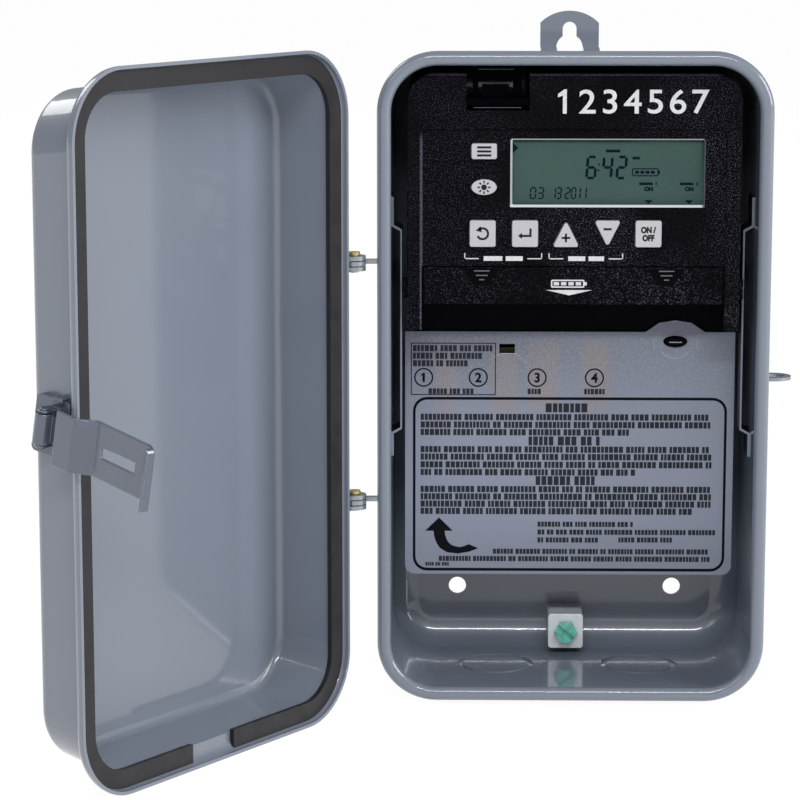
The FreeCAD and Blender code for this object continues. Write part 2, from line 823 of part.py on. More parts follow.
def door_shell():
    """The pressed door pan: a face, a step and a lip that goes round the case's rim."""
    lip = rounded_prism(
        "lip_outer", around(LIP_HALF_WIDTH, LIP_HALF_HEIGHT), "lip_corner",
        "-lip_edge", "lip_front - lip_edge", front_round="lip_bend",
    )
    lip_space = rounded_prism(
        "lip_space", around(LIP_INNER_WIDTH, LIP_INNER_HEIGHT), "lip_corner - door_steel",
        "overshoot - lip_edge", f"{LEDGE} - lip_edge + overshoot", front_round="lip_bend - door_steel",
    )
    pan = tapered_prism(
        "pan_outer", around("door_half_width", "door_half_height"), "door_corner",
        f"-{LEDGE}", f"door_face - {LEDGE}", "door_slope", "face_round",
    )
    pan_space = tapered_prism(
        "pan_space", around("(door_half_width - door_steel)", "(door_half_height - door_steel)"),
        "door_corner - door_steel", f"overshoot - {LEDGE}", f"door_face - door_steel - {LEDGE} + overshoot",
        "door_slope", "face_round - door_steel",
    )
    shell = cut("door_shell", fuse("door_solid", lip, pan), lip_space, pan_space)
    return node("door_shell", shell, DOOR_OPEN)


def door_gasket():
    """The soft seal in the door's lip, open for a short way at the bottom as a drain."""
    front = "(case_depth + gasket_squeeze_gap)"
    width, height = f"({LIP_INNER_WIDTH} - gasket_fit)", f"({LIP_INNER_HEIGHT} - gasket_fit)"
    seal = rounded_prism(
        "gasket_outer", around(width, height), "lip_corner - door_steel - gasket_fit",
        "-lip_edge", f"{LEDGE} - lip_edge", front_round="lip_bend - door_steel",
    )
    behind = (f"-{front}", "overshoot - lip_edge")
    trim = block("gasket_trim", (f"-{width}", width), behind, (f"-{height}", height))
    space = rounded_prism(
        "gasket_space", around("gasket_half_width", "gasket_half_height"), "gasket_corner",
        f"overshoot - {front}", f"{LEDGE} - {front} + 2 * overshoot",
    )
    drain = block(
        "gasket_drain", ("gasket_gap_left", "gasket_gap_right"),
        (f"-{LEDGE} - overshoot", f"overshoot - {front}"),
        (f"-{LIP_INNER_HEIGHT} - overshoot", "overshoot - gasket_half_height"),
    )
    return node("door_gasket", cut("door_gasket", seal, trim, space, drain), DOOR_OPEN)


def door_knuckle(name, drop):
    """Two leaves that fold round a hinge pin, one above the case's tongue and one below it."""
    line = ("-hinge_side", "-hinge_from_wall")
    side = f"-{LIP_HALF_WIDTH}"
    pieces = []
    for bottom in (UPPER_LEAF, LEAF_BOTTOM):
        heights = (f"{bottom} - {drop}", f"{bottom} + leaf_steel - {drop}")
        pieces.append(rod(name + "_eye", "knuckle_radius", (*line, heights[0]), "leaf_steel"))
        pieces.append(block(name + "_leaf", ("-hinge_side", side), ("-leaf_front", "-leaf_back"), heights))
    heights = (f"{LEAF_BOTTOM} - {drop}", f"{LEAF_TOP} - {drop}")
    pieces.append(block(name + "_web", (f"{side} - leaf_web", side), ("-leaf_front", "-leaf_back"), heights))
    hole = rod(
        name + "_hole", "hinge_pin_radius + pin_fit", (*line, f"{heights[0]} - overshoot"),
        f"{LEAF_TOP} - {LEAF_BOTTOM} + 2 * overshoot",
    )
    return node(name, cut(name, fuse(name + "_solid", *pieces), hole), DOOR_OPEN)


LATCH_CENTRE = Vector(size("latch_side"), -size("latch_from_wall"), size("latch_height"))
LATCH_SEAT = FreeCAD.Placement(LATCH_CENTRE, FreeCAD.Rotation(Vector(1, 0, 0), -size("latch_tilt")))
LATCH_PLACE = DOOR_OPEN.multiply(LATCH_SEAT)
LEVER_PLACE = LATCH_PLACE.multiply(turn(Vector(), Vector(0, 0, 1), -size("latch_swing")))
PLATE_REACH = "(door_half_width - latch_side)"
PLATE_FACE = f"({PLATE_REACH} + bracket_steel)"
EAR_BOTTOM = "(barrel_half_height + ear_gap)"


def latch_bracket():
    """The plate on the door's side, with two ears for the latch's pin. X is away from the door."""
    slope = math.tan(math.radians(size("door_slope")))

    def wall(y):
        return f"{PLATE_REACH} + bracket_gap - {slope} * (latch_from_wall - {LEDGE} - {y})"

    wedge = prism(
        "latch_wedge", "XY",
        [
            (wall("bracket_left"), "bracket_left"),
            (PLATE_FACE, "bracket_left"),
            (PLATE_FACE, "bracket_right"),
            (wall("bracket_right"), "bracket_right"),
        ],
        "bracket_bottom", "bracket_top - bracket_bottom",
    )
    outline = prism(
        "latch_outline", "YZ",
        rectangle("bracket_left", "bracket_right", "bracket_bottom", "bracket_top"),
        f"{PLATE_FACE} - 3 * bracket_steel", "3 * bracket_steel",
    )
    round_edges(outline, "bracket_corner", along("x"))
    pieces = [common("latch_plate", wedge, outline)]
    for bottom in (EAR_BOTTOM, f"-{EAR_BOTTOM} - ear_steel"):
        heights = (bottom, f"{bottom} + ear_steel")
        pieces.append(block("ear_arm", (PLATE_FACE, "0"), ("-ear_radius", "ear_radius"), heights))
        pieces.append(rod("ear_end", "ear_radius", ("0", "0", bottom), "ear_steel"))
    pieces.append(block(
        "latch_stop", (PLATE_REACH, f"{PLATE_FACE} + stop_reach"),
        ("bracket_right - bracket_corner - stop_width", "bracket_right - bracket_corner"),
        ("bracket_top", "bracket_top + stop_height"),
    ))
    hole = rod(
        "latch_pin_hole", "latch_pin_radius", ("0", "0", f"-{EAR_BOTTOM} - 2 * ear_steel"),
        f"2 * {EAR_BOTTOM} + 4 * ear_steel",
    )
    solid = fuse("latch_bracket_solid", *pieces)
    return node("latch_bracket", cut("latch_bracket", solid, hole), LATCH_PLACE)


def latch_pin():
    """The pin through the bracket's ears, with a low head at each end."""
    half = f"({EAR_BOTTOM} + ear_steel)"
    shank = rod("latch_pin_shank", "latch_pin_radius", ("0", "0", f"-{half}"), f"2 * {half}")
    heads = [
        rod("latch_pin_head", "latch_pin_head_radius", ("0", "0", bottom), "latch_pin_head")
        for bottom in (half, f"-{half} - latch_pin_head")
    ]
    return node("latch_pin", fuse("latch_pin", shank, *heads), LATCH_PLACE)


def latch_lever():
    """The hasp: a barrel, a neck, a panel over the lip, an S-bend behind the rim and a slotted blade."""
    barrel = rod("lever_barrel", "barrel_radius", ("0", "0", "-barrel_half_height"), "2 * barrel_half_height")
    neck = prism(
        "lever_neck", "XY",
        [
            ("neck_inner", "0"),
            ("neck_inner + lever_steel", "0"),
            ("neck_inner + lever_steel", "lever_start - neck_ramp_start"),
            ("lever_outer", "lever_start + neck_ramp_end"),
            ("lever_outer", "lever_start + neck_overlap"),
            (LEVER_INNER, "lever_start + neck_overlap"),
            (LEVER_INNER, "lever_start + neck_ramp_end + neck_ramp_shift"),
            ("neck_inner", "lever_start - neck_ramp_start + neck_ramp_shift"),
        ],
        "-neck_half_height", "2 * neck_half_height",
    )
    rise = size("lever_bend_end - lever_bend_start")
    slope = math.hypot(rise, size("lever_step"))
    inset = f"lever_steel * {slope - rise} / {size('lever_step')}"
    strip = prism(
        "lever_strip", "XY",
        [
            ("lever_outer", "lever_start"),
            ("lever_outer", "lever_bend_start"),
            (BLADE_OUTER, "lever_bend_end"),
            (BLADE_OUTER, "lever_end"),
            (BLADE_INNER, "lever_end"),
            (BLADE_INNER, f"lever_bend_end - {inset}"),
            (LEVER_INNER, f"lever_bend_start - {inset}"),
            (LEVER_INNER, "lever_start"),
        ],
        "lever_bottom", "lever_top - lever_bottom",
    )

    def is_bend(edge):
        start, end = size("lever_bend_start - lever_steel"), size("lever_bend_end + lever_steel")
        return start < edge.CenterOfMass.y < end

    round_edges(strip, "lever_bend_round", along("z"), is_bend)
    flange = block(
        "lever_flange", (BLADE_INNER, f"{BLADE_OUTER} + flange_reach"),
        ("lever_end - lever_steel", "lever_end"), ("lever_bottom - flange_drop", "lever_top"),
    )
    outline = prism(
        "lever_outline", "YZ",
        rectangle("lever_start", "lever_end", "lever_bottom - flange_drop", "lever_top"),
        f"{BLADE_INNER} - overshoot", f"lever_outer + flange_reach - {BLADE_INNER} + 2 * overshoot",
    )

    def is_end(edge):
        centre = edge.CenterOfMass
        return centre.y > size("lever_end - lever_corner") and centre.z > 0

    round_edges(outline, "lever_corner", along("x"), is_end)
    blade = common("lever_blade", fuse("lever_sheet", strip, flange), outline)
    tilt = math.radians(size("latch_tilt"))
    half_slot = (
        f"(eye_half_width * {math.sin(tilt)} + eye_steel / 2 * {math.cos(tilt)} + slot_clearance)"
    )
    slot = block(
        "lever_slot", (f"{BLADE_INNER} - overshoot", f"{BLADE_OUTER} + overshoot"),
        ("slot_start", "slot_end"),
        (f"slot_height_offset - {half_slot}", f"slot_height_offset + {half_slot}"),
    )
    bore = rod(
        "lever_bore", "latch_pin_radius + pin_fit", ("0", "0", "-2 * barrel_half_height"),
        "4 * barrel_half_height",
    )
    solid = fuse("lever_solid", barrel, neck, blade)
    return node("latch_lever", cut("latch_lever", solid, slot, bore), LEVER_PLACE)


# The timer mechanism, which lifts out of the case

def key_outline(shape, centre, half_width, half_height, gap):
    """The outline of a key or of its hole."""
    x, z = centre
    wide, high = f"({half_width} + {gap})", f"({half_height} + {gap})"
    if shape == "up":
        tip = f"{z} + {high} + {gap}"
        base = f"{z} - {high}"
        return [(f"{x} - {wide} - {gap}", base), (f"{x} + {wide} + {gap}", base), (x, tip)]
    if shape == "down":
        tip = f"{z} - {high} - {gap}"
        base = f"{z} + {high}"
        return [(x, tip), (f"{x} + {wide} + {gap}", base), (f"{x} - {wide} - {gap}", base)]
    return rectangle(f"{x} - {wide}", f"{x} + {wide}", f"{z} - {high}", f"{z} + {high}")


def key_block(name, shape, centre, half_width, half_height, gap, back, front):
    """A key-shaped block between two distances from the wall."""
    if shape == "oval":
        ellipse = DOC.addObject("Part::Ellipse", name + "_ellipse")
        ellipse.setExpression("MajorRadius", linked(f"{half_width} + {gap}"))
        ellipse.setExpression("MinorRadius", linked(f"{half_height} + {gap}"))
        ellipse.Placement = FreeCAD.Placement(Vector(), FreeCAD.Rotation(Vector(1, 0, 0), 90))
        move(ellipse, centre[0], f"-({back})", centre[1])
        solid = DOC.addObject("Part::Extrusion", name)
        solid.Base = ellipse
        solid.DirMode = "Custom"
        solid.Dir = Vector(0, -1, 0)
        solid.Solid = True
        solid.setExpression("LengthFwd", linked(f"({front}) - ({back})"))
        return solid
    outline = key_outline(shape, centre, half_width, half_height, gap)
    return rounded_prism(name, outline, f"key_round + {gap}", f"-({back})", f"({front}) - ({back})")


SQUARE = ("square", "key_width / 2", "key_height / 2")
KEYS = {
    "mode_key": ("square", "small_key_width / 2", "small_key_height / 2", ("key_column_mode", "mode_row")),
    "day_key": ("oval", "small_key_width / 2", "small_key_height / 2", ("key_column_mode", "day_row")),
    "reset_key": (*SQUARE, ("key_column_reset", "key_row")),
    "enter_key": (*SQUARE, ("key_column_enter", "key_row")),
    "plus_key": ("up", "arrow_key_width / 2", "arrow_key_height / 2", ("key_column_plus", "key_row")),
    "minus_key": ("down", "arrow_key_width / 2", "arrow_key_height / 2", ("key_column_minus", "key_row")),
    "on_off_key": (*SQUARE, ("key_column_switch", "key_row")),
}


def keys():
    """The seven keys: each a cap through the bezel on a wider flange behind it."""
    for name, (shape, half_width, half_height, centre) in KEYS.items():
        face = f"({PANEL_FACE} + key_proud)"
        cap = key_block(name + "_cap", shape, centre, half_width, half_height, "0", KEY_FLANGE_BACK, face)
        flange = key_block(
            name + "_flange", shape, centre, half_width, half_height, "key_flange_reach",
            KEY_FLANGE_BACK, KEY_FLANGE_FRONT,
        )
        node(name, fuse(name, cap, flange))


def module_outline(inset, bottom):
    """The mechanism's outline, taken in by an inset."""
    wide = f"(module_half_width - {inset})"
    return rectangle(f"-{wide}", wide, bottom, f"module_top - {inset}")


def upper_only(edge):
    """A test for edges in the mechanism's top half."""
    return edge.CenterOfMass.z > size("(module_top + leg_bottom) / 2")


def front_bezel():
    """The black front moulding: its face, legs, skirt, recessed panel and openings."""
    outline = module_outline("0", "leg_bottom")
    outer = prism("bezel_outer", "XZ", outline, f"-{BEZEL_BACK}", "bezel_depth")
    round_edges(outer, "module_corner", along("y"), upper_only)
    round_edges(outer, "bezel_edge_round", level("y", "-bezel_depth"))
    space = prism(
        "bezel_space", "XZ", module_outline("module_wall", "leg_bottom - overshoot"),
        f"overshoot - {BEZEL_BACK}", "bezel_depth - bezel_steel + overshoot",
    )
    round_edges(space, "module_corner - module_wall", along("y"), upper_only)
    inner = "(module_half_width - leg_width)"
    front = "-face_from_wall - overshoot"
    through = (front, f"overshoot - {PLATE_BACK}")
    panel = prism(
        "panel_space", "XZ", rectangle(f"-{inner}", inner, "panel_bottom - overshoot", "panel_top"),
        f"-{PANEL_FACE}", "panel_recess + overshoot",
    )
    round_edges(panel, "panel_corner", along("y"), upper_only)
    cutters = [
        space,
        panel,
        block("battery_opening", (f"-{inner}", inner), through, ("leg_bottom - overshoot", "panel_bottom")),
        block("window_space", ("window_left", "window_right"), through, ("window_bottom", "window_top")),
        block(
            "catch_space", ("well_left", "well_right"), (front, f"overshoot - {BEZEL_BACK}"),
            ("well_floor", "module_top + overshoot"),
        ),
    ]
    for name, (shape, half_width, half_height, centre) in KEYS.items():
        cutters.append(key_block(
            name + "_hole", shape, centre, half_width, half_height, "key_gap",
            f"{PLATE_BACK} - overshoot", "face_from_wall + overshoot",
        ))
    step_depth = (front, "leg_step - face_from_wall")
    step_height = ("leg_bottom - overshoot", "leg_step_height")
    for side in (("-module_half_width - overshoot", f"-{inner}"), (inner, "module_half_width + overshoot")):
        cutters.append(block("leg_step_space", side, step_depth, step_height))
    moulding = cut("bezel_moulding", outer, *cutters)
    lug_end = "(opening_half_width - strap_step - strap_steel - slide_gap)"
    lug_depth, lug_height = ("-side_lug_front", "-side_lug_back"), ("side_lug_bottom", "side_lug_top")
    lugs = [
        block("side_lug", side, lug_depth, lug_height)
        for side in ((f"-{lug_end}", "-module_half_width"), ("module_half_width", lug_end))
    ]
    return node("front_bezel", fuse("front_bezel", moulding, *lugs))


def rear_housing():
    """The moulding behind the bezel, with the battery bay and a channel that passes the case's bracket."""
    depth = f"({BEZEL_BACK} - {HOUSING_BACK})"
    outer = prism("housing_outer", "XZ", module_outline("0", "housing_bottom"), f"-{HOUSING_BACK}", depth)
    round_edges(outer, "module_corner", along("y"), upper_only)

    def above_floor(edge):
        return edge.BoundBox.ZMax > size("housing_bottom + module_wall")

    round_edges(outer, "module_corner", level("y", "0"), above_floor)
    space = prism(
        "housing_space", "XZ", module_outline("module_wall", "housing_bottom + module_wall"),
        f"-{HOUSING_BACK} - module_wall", depth,
    )
    round_edges(space, "module_corner - module_wall", along("y"), upper_only)
    round_edges(space, "module_corner - module_wall", level("y", "0"))
    shell = cut("housing_shell", outer, space)
    joint = f"-{BEZEL_BACK}"
    well_blank = block(
        "well_blank", ("well_left - module_wall", "well_right + module_wall"),
        (joint, "0"), ("well_floor - module_wall", "module_top"),
    )
    well = common("well_block", outer, well_blank)
    bay = block(
        "bay_block", ("-module_half_width", "module_half_width"),
        (joint, "module_wall - bay_back"), ("housing_bottom", "bay_top + bay_wall"),
    )
    well_space = block(
        "well_space", ("well_left", "well_right"), (f"{joint} - overshoot", "0"),
        ("well_floor", "module_top + overshoot"),
    )
    bay_side = "(trough_half_width + slide_gap)"
    bay_space = block(
        "bay_space", (f"-{bay_side}", bay_side), (f"{joint} - overshoot", "-bay_back"),
        ("housing_bottom - overshoot", "bay_top"),
    )
    solid = fuse("housing_solid", shell, well, bay)
    return node("rear_housing", cut("rear_housing", solid, well_space, bay_space))


TERMINALS = 4


def terminal_x(index):
    """The middle of a terminal."""
    return f"(terminal_first + {index} * terminal_pitch)"


def terminal_block():
    """The block under the housing, with a pocket for each wire terminal."""
    base = block(
        "deck", ("-deck_half_width", "deck_half_width"), ("-deck_front", "-deck_back"),
        ("deck_bottom", "housing_bottom"),
    )
    cutters = []
    for index in range(TERMINALS):
        x = terminal_x(index)
        cutters.append(block(
            "pocket", (f"{x} - pocket_width / 2", f"{x} + pocket_width / 2"),
            ("-deck_front - overshoot", "-pocket_back"), ("deck_bottom - overshoot", "pocket_top"),
        ))
        hole_place = (x, "-pocket_back - overshoot", "terminal_screw_height")
        depth = "terminal_shank + overshoot"
        cutters.append(rod("terminal_hole", "terminal_shank_radius", hole_place, depth, "y"))
    hole_place = (POST_X, "-deck_front - overshoot", "post_height")
    cutters.append(rod("post_hole", "post_shank_radius", hole_place, "post_seat + overshoot", "y"))
    return node("terminal_block", cut("terminal_block", base, *cutters))


def terminal_hardware():
    """The plated terminal plates and their screws."""
    plates, screws = [], []
    plate_face = "(pocket_back + terminal_plate_steel)"
    for index in range(TERMINALS):
        x = terminal_x(index)
        plate = block(
            "plate_blank", (f"{x} - terminal_plate_width / 2", f"{x} + terminal_plate_width / 2"),
            (f"-{plate_face}", "-pocket_back"), ("terminal_plate_bottom", "terminal_plate_top"),
        )
        through = (x, f"-{plate_face} - overshoot", "terminal_screw_height")
        depth = "terminal_plate_steel + 2 * overshoot"
        hole = rod("plate_hole", "terminal_shank_radius", through, depth, "y")
        plates.append(cut("terminal_plate", plate, hole))
        face = f"-{plate_face} - terminal_head"
        head_place = (x, face, "terminal_screw_height")
        head = rod("screw_head", "terminal_head_radius", head_place, "terminal_head", "y")
        shank = rod(
            "screw_shank", "terminal_shank_radius", (x, f"-{plate_face}", "terminal_screw_height"),
            "terminal_shank", "y",
        )
        slot = screw_head_slot(
            "screw_slot", "terminal_head_radius", face, (x, "terminal_screw_height"),
            index * size("terminal_slot_turn"),
        )
        screws.append(cut("terminal_screw", fuse("screw_solid", head, shank), slot))
    node("terminal_plates", group("terminal_plates", *plates))
    node("terminal_screws", group("terminal_screws", *screws))


def electronics():
    """The board behind the bezel with the display, key mat, relay and transformer on it."""
    node("lcd_window", block(
        "lcd_window", ("window_left + window_fit", "window_right - window_fit"),
        (f"-{PLATE_BACK} - lens_steel", f"-{PLATE_BACK}"),
        ("window_bottom + window_fit", "window_top - window_fit"),
    ))
    node("lcd_module", block(
        "lcd_module", ("window_left - display_margin", "window_right + display_margin"),
        (f"-{PLATE_BACK}", f"display_depth - {PLATE_BACK}"),
        ("window_bottom - display_margin", "window_top + display_margin"),
    ))
    mat_bottom = "key_row - key_height / 2 - mat_margin / 2"
    tall = block(
        "mat_tall", ("key_column_mode - mat_margin", "window_left - display_margin - slide_gap"),
        (f"-{MAT_FRONT}", f"-{BOARD_FRONT}"), (mat_bottom, "mode_row + small_key_height"),
    )
    low = block(
        "mat_low", ("key_column_mode - mat_margin", "key_column_switch + mat_margin"),
        (f"-{MAT_FRONT}", f"-{BOARD_FRONT}"), (mat_bottom, "window_bottom - display_margin - slide_gap"),
    )
    node("keypad_mat", fuse("keypad_mat", tall, low))
    node("circuit_board", block(
        "circuit_board", ("-board_half_width", "board_half_width"), (f"-{BOARD_FRONT}", f"-{BOARD_BACK}"),
        ("board_bottom", "board_top"),
    ))
    node("relay", block(
        "relay", ("relay_left", "relay_left + relay_width"),
        (f"-{BOARD_BACK}", f"relay_depth - {BOARD_BACK}"),
        ("relay_bottom", "relay_bottom + relay_height"),
    ))
    middle, half_core = f"coil_depth / 2 - {BOARD_BACK}", "transformer_depth / 2"
    core = block(
        "core", ("transformer_left", "transformer_left + transformer_width"),
        (f"{middle} - {half_core}", f"{middle} + {half_core}"),
        ("transformer_bottom", "transformer_bottom + transformer_height"),
    )
    coil = block(
        "coil", ("transformer_left + coil_margin", "transformer_left + transformer_width - coil_margin"),
        (f"-{BOARD_BACK}", f"coil_depth - {BOARD_BACK}"),
        ("transformer_bottom + coil_margin", "transformer_bottom + transformer_height - coil_margin"),
    )
    node("transformer", fuse("transformer", core, coil))


def release_catch():
    """The sliding catch in the well: a thumb piece with a tongue in front of the case's bracket."""
    body = block(
        "catch_thumb", ("well_left + slide_gap", "well_right - slide_gap"),
        ("-catch_front", "-catch_back"), (CATCH_BOTTOM, CATCH_TOP),
    )
    tongue_back = "(catch_bracket_front + 2 * slide_gap)"
    tongue = block(
        "catch_tongue", ("catch_window_left + catch_tongue_gap", "catch_window_right - catch_tongue_gap"),
        (f"-{tongue_back} - catch_bracket_steel", f"-{tongue_back}"), (CATCH_BOTTOM, "catch_tongue_top"),
    )
    return node("release_catch", fuse("release_catch", body, tongue))


def battery_drawer():
    """The drawer under the keys: its panel, and the trough that two cells lie in, end to end."""
    panel = block(
        "drawer_panel_blank", ("-drawer_half_width", "drawer_half_width"),
        ("-drawer_front", "drawer_panel - drawer_front"), ("drawer_bottom", "drawer_top"),
    )
    trough = block(
        "trough", ("-trough_half_width", "trough_half_width"), (f"slide_gap - {PLATE_BACK}", "-trough_back"),
        ("drawer_bottom", "drawer_top"),
    )
    link = block(
        "trough_link", ("-drawer_half_width", "drawer_half_width"),
        ("drawer_panel - drawer_front", f"3 * slide_gap - {PLATE_BACK}"), ("drawer_bottom", "drawer_top"),
    )
    cells_x = "(trough_half_width - 2 * trough_wall)"
    cell_front = f"{CELL_Y} + cell_radius + gasket_fit"
    cell_back = f"{CELL_Y} - cell_radius - gasket_fit"
    space = block(
        "cell_space", (f"-{cells_x}", cells_x), (f"-({cell_front})", f"-({cell_back})"),
        ("drawer_bottom + trough_floor", "drawer_top + overshoot"),
    )
    return node("battery_drawer", cut("battery_drawer", fuse("drawer_solid", panel, link, trough), space))


def battery_cells():
    """Two cells, end to end, both the same way round."""
    cells = []
    for start in ("-cell_length", "0"):
        can = rod("cell_can", "cell_radius", (start, f"-{CELL_Y}", CELL_Z), "cell_length - cell_button", "x")
        button_start = f"{start} + cell_length - cell_button"
        button_place = (button_start, f"-{CELL_Y}", CELL_Z)
        button = rod("cell_button_end", "cell_button_radius", button_place, "cell_button", "x")
        cells.append(fuse("battery_cell", can, button))
    return node("battery_cells", group("battery_cells", *cells))


def battery_contacts():
    """The spring plates at the two ends of the trough."""
    plates = []
    end = "(trough_half_width - 2 * trough_wall)"
    for x in ((f"-{end}", f"contact_steel - {end}"), (f"{end} - contact_steel", end)):
        plate = block(
            "contact_plate", x, (f"-{CELL_Y} - cell_radius / 2", f"-{CELL_Y} + cell_radius / 2"),
            ("drawer_bottom + trough_floor", "drawer_top"),
        )
        plates.append(plate)
    nub_length = f"{end} - contact_steel - cell_length"
    left_place = (f"contact_steel - {end}", f"-{CELL_Y}", CELL_Z)
    left = rod("contact_nub", "cell_button_radius", left_place, nub_length, "x")
    right = rod("contact_nub", "cell_button_radius", ("cell_length", f"-{CELL_Y}", CELL_Z), nub_length, "x")
    ends = [fuse("contact", plates[0], left), fuse("contact", plates[1], right)]
    return node("battery_contacts", group("battery_contacts", *ends))


def oval_disc(name, half_width, half_height, back, front):
    """An upright oval disc on the post's line."""
    return key_block(name, "oval", (POST_X, "post_height"), half_width, half_height, "0", back, front)


def insulator_post():
    """The post on the terminal block that the insulator hangs on."""
    head_back = f"({SHEET_FRONT} + insulator_gap)"
    shank = rod(
        "post_shank", "post_shank_radius", (POST_X, f"-{head_back}", "post_height"),
        f"{head_back} - deck_front + post_seat", "y",
    )
    head_front = f"{head_back} + post_head"
    head = oval_disc("post_head_disc", "post_half_width", "post_half_height", head_back, head_front)
    return node("insulator_post", fuse("insulator_post", shank, head))


def insulator_sheet():
    """The bendable sheet that hangs over the wires."""
    outline = [
        ("-insulator_half_width", "insulator_bottom"),
        ("insulator_half_width", "insulator_bottom"),
        ("insulator_half_width", "insulator_top"),
        ("ear_right", "insulator_top"),
        (f"{POST_X} + ear_flat_half_width", "ear_top - ear_shoulder"),
        (POST_X, "ear_top"),
        (f"{POST_X} - ear_flat_half_width", "ear_top - ear_shoulder"),
        ("ear_left", "insulator_top"),
        ("-insulator_half_width", "insulator_top"),
    ]
    blank = prism("insulator_blank", "XZ", outline, f"-{SHEET_BACK}", "insulator_steel")

    def is_corner(edge):
        side = abs(edge.CenterOfMass.x) > size("insulator_half_width - insulator_corner")
        return side and edge.CenterOfMass.z < size("(insulator_top + insulator_bottom) / 2")

    round_edges(blank, "insulator_corner", along("y"), is_corner)
    through = (f"-{SHEET_FRONT} - overshoot", f"overshoot - {SHEET_BACK}")
    hole = oval_disc(
        "post_clearance", "post_half_width + post_hole_gap", "post_half_height + post_hole_gap",
        f"{SHEET_BACK} - overshoot", f"{SHEET_FRONT} + overshoot",
    )
    tab_hole = block(
        "tab_hole", ("tab_hole_left", "tab_hole_right"), through, ("tab_hole_bottom", "tab_hole_top")
    )
    return node("insulator_sheet", cut("insulator_sheet", blank, hole, tab_hole))


CASE_HOLLOW = case_hollow()
case_shell(CASE_HOLLOW)
hanger_tab()
side_strap("side_strap_left", -1)
side_strap("side_strap_right", 1)
ground_lug(CASE_HOLLOW)
ground_screw()
hinge_tongue("hinge_tongue_upper", "0")
hinge_tongue("hinge_tongue_lower", "hinge_drop")
hinge_pins()
padlock_eye()
catch_bracket()
door_shell()
door_gasket()
door_knuckle("door_knuckle_upper", "0")
door_knuckle("door_knuckle_lower", "hinge_drop")
latch_bracket()
latch_pin()
latch_lever()
front_bezel()
rear_housing()
terminal_block()
terminal_hardware()
electronics()
keys()
release_catch()
battery_drawer()
battery_cells()
battery_contacts()
insulator_post()
insulator_sheet()

DOC.recompute()
for thing in DOC.Objects:
    if {"Invalid", "Error"} & set(thing.State):
        raise RuntimeError(f"{thing.Name} failed: {thing.State}")
for name, thing in NODES.items():
    shape = thing.Shape
    if shape.isNull() or not shape.isValid() or not shape.Solids:
        raise RuntimeError(f"{name} has no valid solid")

os.makedirs("parts", exist_ok=True)
for name, thing in NODES.items():
    thing.Shape.exportStep(f"parts/{name}.step")
    box = thing.Shape.BoundBox
    print(f"{name}: {len(thing.Shape.Solids)} solid, {thing.Shape.Volume:.0f} mm3,",
          f"{box.XMin:.1f}..{box.XMax:.1f}, {box.YMin:.1f}..{box.YMax:.1f}, {box.ZMin:.1f}..{box.ZMax:.1f}")
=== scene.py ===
import math
import random

import bpy
from bpy.props import FloatProperty, FloatVectorProperty, PointerProperty
from mathutils import Matrix, Vector


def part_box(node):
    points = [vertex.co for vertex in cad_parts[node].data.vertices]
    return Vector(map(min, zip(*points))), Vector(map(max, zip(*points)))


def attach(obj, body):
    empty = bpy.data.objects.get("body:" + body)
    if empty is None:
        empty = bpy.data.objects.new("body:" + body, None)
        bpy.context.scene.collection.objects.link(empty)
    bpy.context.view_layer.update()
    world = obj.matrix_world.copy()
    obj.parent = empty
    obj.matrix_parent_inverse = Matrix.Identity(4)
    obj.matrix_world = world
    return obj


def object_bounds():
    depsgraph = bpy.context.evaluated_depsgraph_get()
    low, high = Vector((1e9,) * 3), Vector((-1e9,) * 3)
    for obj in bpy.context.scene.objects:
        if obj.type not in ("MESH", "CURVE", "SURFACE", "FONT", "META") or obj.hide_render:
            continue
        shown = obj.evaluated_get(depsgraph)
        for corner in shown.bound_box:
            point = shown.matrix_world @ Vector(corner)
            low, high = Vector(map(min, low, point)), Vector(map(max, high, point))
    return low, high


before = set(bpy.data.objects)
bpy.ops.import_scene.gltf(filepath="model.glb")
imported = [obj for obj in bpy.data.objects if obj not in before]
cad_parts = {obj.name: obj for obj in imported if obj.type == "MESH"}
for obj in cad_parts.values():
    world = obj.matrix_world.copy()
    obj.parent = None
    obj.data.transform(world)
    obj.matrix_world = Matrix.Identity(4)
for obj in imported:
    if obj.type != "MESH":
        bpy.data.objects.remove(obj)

bl_info = {
    "name": "Seven-day timer",
    "version": (1, 0, 0),
    "blender": (4, 5, 0),
    "location": "3D View > Sidebar > Timer",
    "description": "Finishes, printing and studio for a seven-day timer in a wall enclosure",
    "category": "Object",
}

MM = 0.001
CAD_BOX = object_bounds()


# Settings

def colour(name, words, red, green, blue):
    """A colour property with its default."""
    return FloatVectorProperty(
        name=name, description=words, default=(red, green, blue), subtype="COLOR", min=0, max=1)


def length(name, words, millimetres):
    """A length property with its default in millimetres."""
    return FloatProperty(
        name=name, description=words, default=millimetres * MM, unit="LENGTH", precision=5)


def power(name, words, watts):
    """A lamp's power with its default in watts."""
    return FloatProperty(name=name, description=words, default=watts, unit="POWER")


